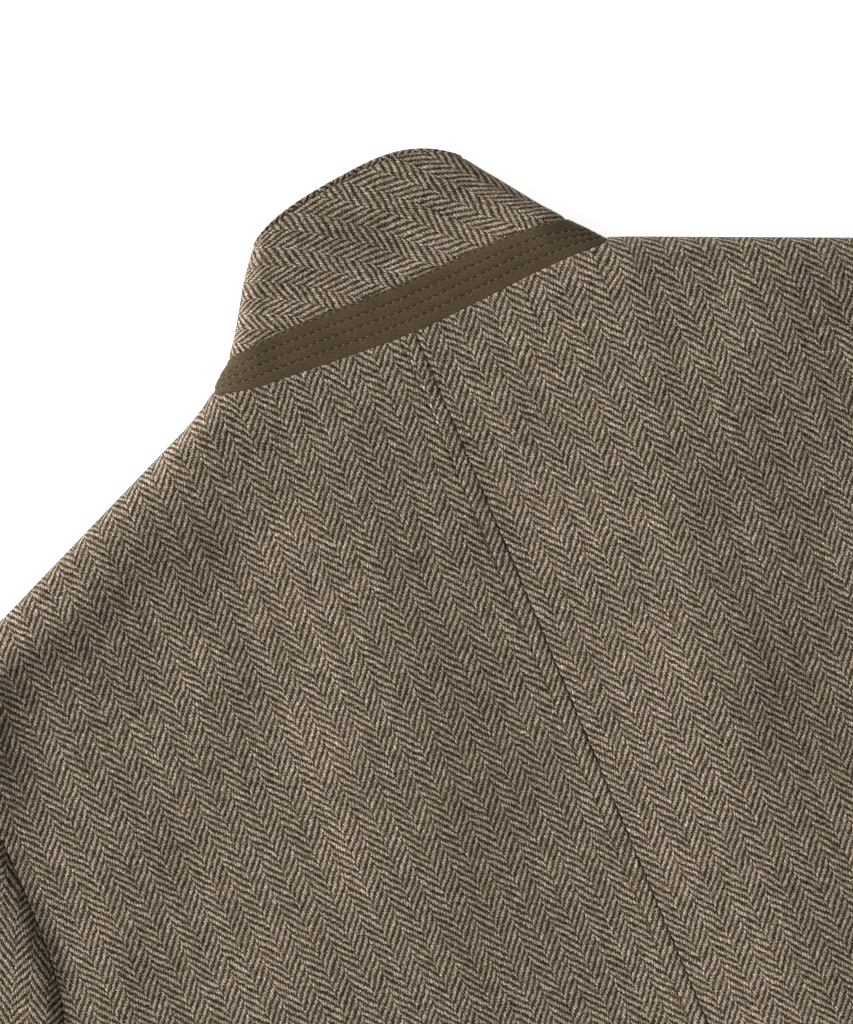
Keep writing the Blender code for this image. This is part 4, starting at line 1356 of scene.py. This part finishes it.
def on_the_bias(flat, cloth):
    """Place on the cloth of a collar that is cut on the bias, whose columns fan out a little."""
    across, up = flat[..., 0], flat[..., 1]
    fanned = np.clip(across, -BIAS_FAN_REACH, BIAS_FAN_REACH)
    slant = cloth.bias + BIAS_FAN * fanned
    fan = (math.cos(cloth.bias) - np.cos(slant)) / BIAS_FAN
    column = up * np.cos(slant) + fan + (across - fanned) * np.sin(slant)
    along = across * np.cos(slant) - up * np.sin(slant)
    return np.stack([column, along], axis=-1)


def closed_profile(outer, inner):
    """A profile up an outer face and down an inner one, ending where it began."""
    return tuple(np.vstack([up, down[::-1], up[:1]]) for up, down in zip(outer, inner))


def make_undercollar(settings):
    """Undercollar on the bias, whose edge sinks a little beside the rolled edge of the top collar."""
    cloth = settings.jacket_cloth
    stations = collar_stations()
    up = np.linspace(0.0, 1.0, COLLAR_STEPS + 1)[:-1]
    up = np.concatenate([up, UNDERCOLLAR_EDGE])[:, None] * np.ones_like(stations)
    sink = EDGE_SINK * np.exp(-((1.0 - up) * COLLAR_HEIGHT / EDGE_SINK_WIDTH) ** 2)
    above = up - band_share(stations)
    fade = np.exp(-(np.maximum(above - COLLAR_PUFF_LEVEL, 0.0) / COLLAR_PUFF_FADE) ** 2)
    puff = COLLAR_PUFF * ease(above / COLLAR_PUFF_START) * fade
    ups, outs = closed_profile((up, puff - sink), (up, np.full_like(up, UNDERCOLLAR_INNER)))
    points, flat = collar_grid(stations, ups, outs)
    piece = grid_object("undercollar_cloth", points, on_the_bias(flat, cloth), closed=True)
    dress(piece, "undercollar", tweed_finish(cloth))


def rolled_bead(rolled):
    """Profile of the top collar's edge, which rolls over the undercollar's edge as a narrow bead."""
    turn = np.linspace(0.0, 1.0, BEAD_STEPS)[:, None]
    up = BEAD_START + rolled * np.sin(turn * math.pi / 2)
    out = BEAD_OUT + BEAD_SWELL * np.sin(turn * math.pi) - BEAD_RETURN * turn ** 3
    return up, out * np.ones_like(rolled)


def make_top_collar(settings):
    """Top collar inside the undercollar, with its rolled edge."""
    cloth = settings.jacket_cloth
    stations = collar_stations()
    rolled = ROLLED_EDGE * (1.0 - ROLLED_EDGE_LOSS * within(2 * np.abs(stations), ROLLED_EDGE_LOSS_SPAN))
    bead_up, bead_out = rolled_bead(rolled)
    plain_up = np.append(np.linspace(0.0, 1.0, COLLAR_STEPS + 1), BEAD_FOOT)[:, None]
    plain_up = plain_up * np.ones_like(stations)
    outer_up = np.vstack([plain_up, bead_up])
    outer_out = np.vstack([np.full_like(plain_up, TOP_COLLAR_OUTER), bead_out])
    inner_up = np.linspace(0.0, 1.0, len(outer_up))[:, None] * (1.0 + TOP_COLLAR_INNER_ROLL * rolled)
    inner_out = np.full_like(inner_up, TOP_COLLAR_INNER)
    ups, outs = closed_profile((outer_up, outer_out), (inner_up, inner_out))
    points, cut = collar_grid(stations, ups, outs)
    piece = grid_object("top_collar_cloth", points, cut, closed=True)
    dress(piece, "top_collar", tweed_finish(cloth))
    inside = slice(len(outer_up), -1)


def sewn_row(row, around):
    """Share of the band's height at which a row is sewn. The lower rows draw together at the side folds."""
    if row == SEWN_ROWS[0]:
        return np.full_like(around, row)
    return row * (1.0 - SEWN_ROW_GATHER * humped(np.abs(around), SEWN_ROW_GATHER_AT))


def band_out(share, around):
    """Distance of the band's outer face from the undercollar, lower in its sewn rows and at its edge."""
    out = BAND_OUTER - seam_dip(1.0 - share, BAND_EDGE_DROP, BAND_EDGE_REACH)
    for row in SEWN_ROWS:
        out = out - SEWN_ROW_DEPTH * np.exp(-((share - sewn_row(row, around)) / SEWN_ROW_HALF_WIDTH) ** 2)
    return out


def make_band(settings):
    """Olive stand band, with soft swells between its sewn rows."""
    stations = collar_stations()
    share = np.linspace(0.0, 1.0, BAND_STEPS)[:, None] * np.ones_like(stations)
    up = share * band_share(stations)
    ups, outs = closed_profile((up, band_out(share, stations)), (up, np.full_like(up, BAND_INNER)))
    points, cut = collar_grid(stations, ups, outs)
    piece = grid_object("collar_band_cloth", points, cut, closed=True)
    dress(piece, "collar_band", olive_finish(settings.jacket_cloth))


def add_bead(bm, place, along, normal, length, width, tip):
    """One bead of thread: the stitch that lies along the row, painted near-black as painted shade, or the
    short paler tip where it goes in, painted as a highlight.
    """
    beside = along.cross(normal).normalized()
    turn = Matrix((beside * width / 2, normal * width / 2, along * length / 2)).transposed()
    matrix = Matrix.Translation(place) @ turn.to_4x4()
    made = bmesh.ops.create_uvsphere(bm, u_segments=6, v_segments=4, radius=1.0, matrix=matrix)
    # A tip's faces take the second material, a painted highlight. A stitch's faces take the first,
    # near-black painted shade.
    for vert in made["verts"]:
        for face in vert.link_faces:
            face.material_index = int(tip)


def read_line(line, travel, place):
    """Values of a line of points at a distance along it."""
    return Vector([np.interp(place, travel, column) for column in line.T])


def add_stitch(bm, start, points, normals, travel, sewing):
    """One stitch and its tip, at a distance along a row."""
    first = read_line(points, travel, start)
    last = read_line(points, travel, start + sewing.length)
    normal = read_line(normals, travel, start + sewing.length / 2).normalized()
    along = (last - first).normalized()
    add_bead(bm, (first + last) / 2, along, normal, sewing.length, sewing.width, False)
    tip = last + along * sewing.tip / 2 + normal * sewing.width * TIP_LIFT
    add_bead(bm, tip, along, normal, sewing.tip, sewing.width, True)


def sew_row(bm, points, normals, sewing):
    """Adds a row of stitches along a line of points. They are made in small lots, which is quicker."""
    travel = np.concatenate([[0.0], np.cumsum(np.linalg.norm(np.diff(points, axis=0), axis=-1))])
    starts = np.arange(0.0, travel[-1] - sewing.period, sewing.period)
    jitter = np.random.default_rng(STITCH_SEED).uniform(-STITCH_JITTER, STITCH_JITTER, len(starts))
    starts = starts + sewing.period * jitter
    carrier = bpy.data.meshes.new("lot")
    for first in range(0, len(starts), STITCH_LOT):
        lot = bmesh.new()
        for start in starts[first:first + STITCH_LOT]:
            add_stitch(lot, start, points, normals, travel, sewing)
        lot.to_mesh(carrier)
        lot.free()
        bm.from_mesh(carrier)
    bpy.data.meshes.remove(carrier)


def finish_sewing(bm, name, sewing):
    """Makes a piece of the sewn rows."""
    piece = link_piece(mesh_from(bm, name))
    # The stitches' near-black colour is painted shade, and their tips' pale colour is a painted highlight on
    # the tan thread.
    dress(piece, None, thread_finish("thread", sewing.thread))
    piece.data.materials.append(thread_finish("tip_tan_and_highlight", sewing.tip_tan_and_highlight))


def sew_band(settings):
    """Four rows of stitches on the stand band."""
    sewing = settings.jacket_sewing
    bm = bmesh.new()
    around = np.linspace(-SEWN_REACH, SEWN_REACH, BAND_LINE_POINTS)
    for row in SEWN_ROWS:
        share = sewn_row(row, around)
        up = share * band_share(around)
        normals = collar_normal(around, up)
        lift = band_out(share, around) + STITCH_LIFT * sewing.width
        sew_row(bm, settle(collar_face(around, up) + lift[:, None] * normals), normals, sewing)
    finish_sewing(bm, "band_stitching", sewing)


def sew_centre(settings):
    """The row that holds the centre seam's allowances, sunk into the left back."""
    form, sewing = settings.jacket_form, settings.jacket_sewing
    y = np.linspace(NECK_SEAM_RISE - CENTRE_ROW_MARGIN, CENTRE_ROW_MARGIN - BACK_LENGTH, CENTRE_LINE_POINTS)
    x = np.full_like(y, form.stitch_line)
    level = back_surface(x, y, -1, form)[0]
    points = settle(np.stack([-x, y, level], axis=-1))
    bm = bmesh.new()
    sew_row(bm, points, np.tile((0.0, 0.0, 1.0), (len(y), 1)), sewing)
    finish_sewing(bm, "centre_stitching", sewing)


def make_button(number, settings):
    """A plain button with a raised rim, lying face down."""
    y = BUTTON_FIRST_Y - number * BUTTON_SPACING + NECK_Y
    bm = bmesh.new()
    verts = [bm.verts.new((ring.radius, 0.0, ring.level)) for ring in BUTTON_PROFILE]
    edges = [bm.edges.new(pair) for pair in zip(verts, verts[1:])]
    bmesh.ops.spin(
        bm, geom=verts + edges, cent=(0, 0, 0), axis=(0, 0, 1), angle=2 * math.pi, steps=BUTTON_STEPS,
        use_merge=True)
    bmesh.ops.remove_doubles(bm, verts=bm.verts, dist=MERGE_DISTANCE)
    bmesh.ops.recalc_face_normals(bm, faces=bm.faces)
    bmesh.ops.translate(bm, verts=bm.verts, vec=(0.0, y, 0.0))
    node = f"button_{number + 1}"
    piece = link_piece(mesh_from(bm, f"{node}_horn"))
    dress(piece, node, horn_finish(settings.jacket_sewing))


def make_floor(stage):
    """White floor that the jacket lies on."""
    bm = bmesh.new()
    bmesh.ops.create_grid(bm, x_segments=1, y_segments=1, size=FLOOR_SIZE)
    floor = link_piece(mesh_from(bm, "floor"))
    floor.location.z = FLOOR_LEVEL
    s = Shading("floor", FLOOR_LOOK)
    s.shader.inputs["Base Color"].default_value = (*stage.floor, 1.0)
    s.shader.inputs["Emission Strength"].default_value = stage.floor_glow
    floor.data.materials.append(s.material)


def light_stage(scene, stage, centre):
    """Low key light from the left of the picture, and even light from all round."""
    world = bpy.data.worlds.new("studio")
    world.use_nodes = True
    sky = world.node_tree.nodes["Background"]
    sky.inputs["Color"].default_value = WHITE
    sky.inputs["Strength"].default_value = stage.sky
    scene.world = world
    scene.view_settings.view_transform = "Standard"
    light = bpy.data.lights.new("key", "SUN")
    light.energy = stage.key_power
    light.angle = KEY_ANGLE
    key = bpy.data.objects.new("key", light)
    key.location = centre + Vector(KEY_FROM)
    key.rotation_mode = "QUATERNION"
    key.rotation_quaternion = (centre - key.location).to_track_quat("-Z", "Y")
    scene.collection.objects.link(key)


def place_camera(scene, stage, centre):
    """Camera straight above the collar, turned as the photograph is."""
    lens = bpy.data.cameras.new("camera")
    lens.sensor_width = SENSOR_WIDTH
    lens.lens = SENSOR_WIDTH * stage.distance / stage.tall
    camera = bpy.data.objects.new("camera", lens)
    camera.location = centre + Vector((0.0, 0.0, stage.distance))
    camera.rotation_euler = (0.0, 0.0, stage.roll)
    scene.collection.objects.link(camera)
    scene.camera = camera


class JACKET_OT_backs(bpy.types.Operator):
    """Makes both halves of the back"""

    bl_idname = "jacket.backs"
    bl_label = "Backs"

    def execute(self, context):
        for side, word in SIDE_WORDS:
            make_back(side, word, context.scene)
        sew_centre(context.scene)
        return {"FINISHED"}


class JACKET_OT_fronts(bpy.types.Operator):
    """Makes both fronts"""

    bl_idname = "jacket.fronts"
    bl_label = "Fronts"

    def execute(self, context):
        for side, word in SIDE_WORDS:
            make_front(side, word, context.scene)
        return {"FINISHED"}


class JACKET_OT_sleeves(bpy.types.Operator):
    """Makes the upper and under sleeves"""

    bl_idname = "jacket.sleeves"
    bl_label = "Sleeves"

    def execute(self, context):
        for side, word in SIDE_WORDS:
            make_sleeve(side, word, True, context.scene)
            make_sleeve(side, word, False, context.scene)
        return {"FINISHED"}


class JACKET_OT_collar(bpy.types.Operator):
    """Makes the undercollar and the top collar"""

    bl_idname = "jacket.collar"
    bl_label = "Collar"

    def execute(self, context):
        make_undercollar(context.scene)
        make_top_collar(context.scene)
        return {"FINISHED"}


class JACKET_OT_band(bpy.types.Operator):
    """Makes the stand band and sews its rows"""

    bl_idname = "jacket.band"
    bl_label = "Stand band"

    def execute(self, context):
        make_band(context.scene)
        sew_band(context.scene)
        return {"FINISHED"}


class JACKET_OT_buttons(bpy.types.Operator):
    """Makes the front buttons"""

    bl_idname = "jacket.buttons"
    bl_label = "Buttons"

    def execute(self, context):
        for number in range(BUTTON_COUNT):
            make_button(number, context.scene)
        return {"FINISHED"}


class JACKET_OT_stage(bpy.types.Operator):
    """Sets the floor, the light and the camera"""

    bl_idname = "jacket.stage"
    bl_label = "Stage"

    def execute(self, context):
        stage = context.scene.jacket_stage
        centre = Vector((stage.centre[0], stage.centre[1] + NECK_Y, CLOTH_LEVEL))
        make_floor(stage)
        light_stage(context.scene, stage, centre)
        place_camera(context.scene, stage, centre)
        return {"FINISHED"}


STEPS = ("backs", "fronts", "sleeves", "collar", "band", "buttons", "stage")


class JACKET_PT_pieces(bpy.types.Panel):
    """Lists the jacket's pieces and their settings"""

    bl_idname = "JACKET_PT_pieces"
    bl_label = "Hunting jacket"
    bl_space_type = "VIEW_3D"
    bl_region_type = "UI"
    bl_category = "Jacket"

    def draw(self, context):
        for step in STEPS:
            self.layout.operator(f"jacket.{step}")
        for name in GROUPS:
            box = self.layout.box()
            group = getattr(context.scene, name)
            for key in group.__annotations__:
                box.prop(group, key)


GROUPS = {
    "jacket_cloth": JacketCloth,
    "jacket_form": JacketForm,
    "jacket_sewing": JacketSewing,
    "jacket_stage": JacketStage,
}
CLASSES = (
    JacketCloth, JacketForm, JacketSewing, JacketStage,
    JACKET_OT_backs, JACKET_OT_fronts, JACKET_OT_sleeves, JACKET_OT_collar, JACKET_OT_band,
    JACKET_OT_buttons, JACKET_OT_stage, JACKET_PT_pieces,
)


def register():
    for item in CLASSES:
        bpy.utils.register_class(item)
    for name, group in GROUPS.items():
        setattr(bpy.types.Scene, name, PointerProperty(type=group))


def unregister():
    for name in GROUPS:
        delattr(bpy.types.Scene, name)
    for item in reversed(CLASSES):
        bpy.utils.unregister_class(item)


def main():
    register()
    for step in STEPS:
        getattr(bpy.ops.jacket, step)()


if __name__ == "__main__":
    main()
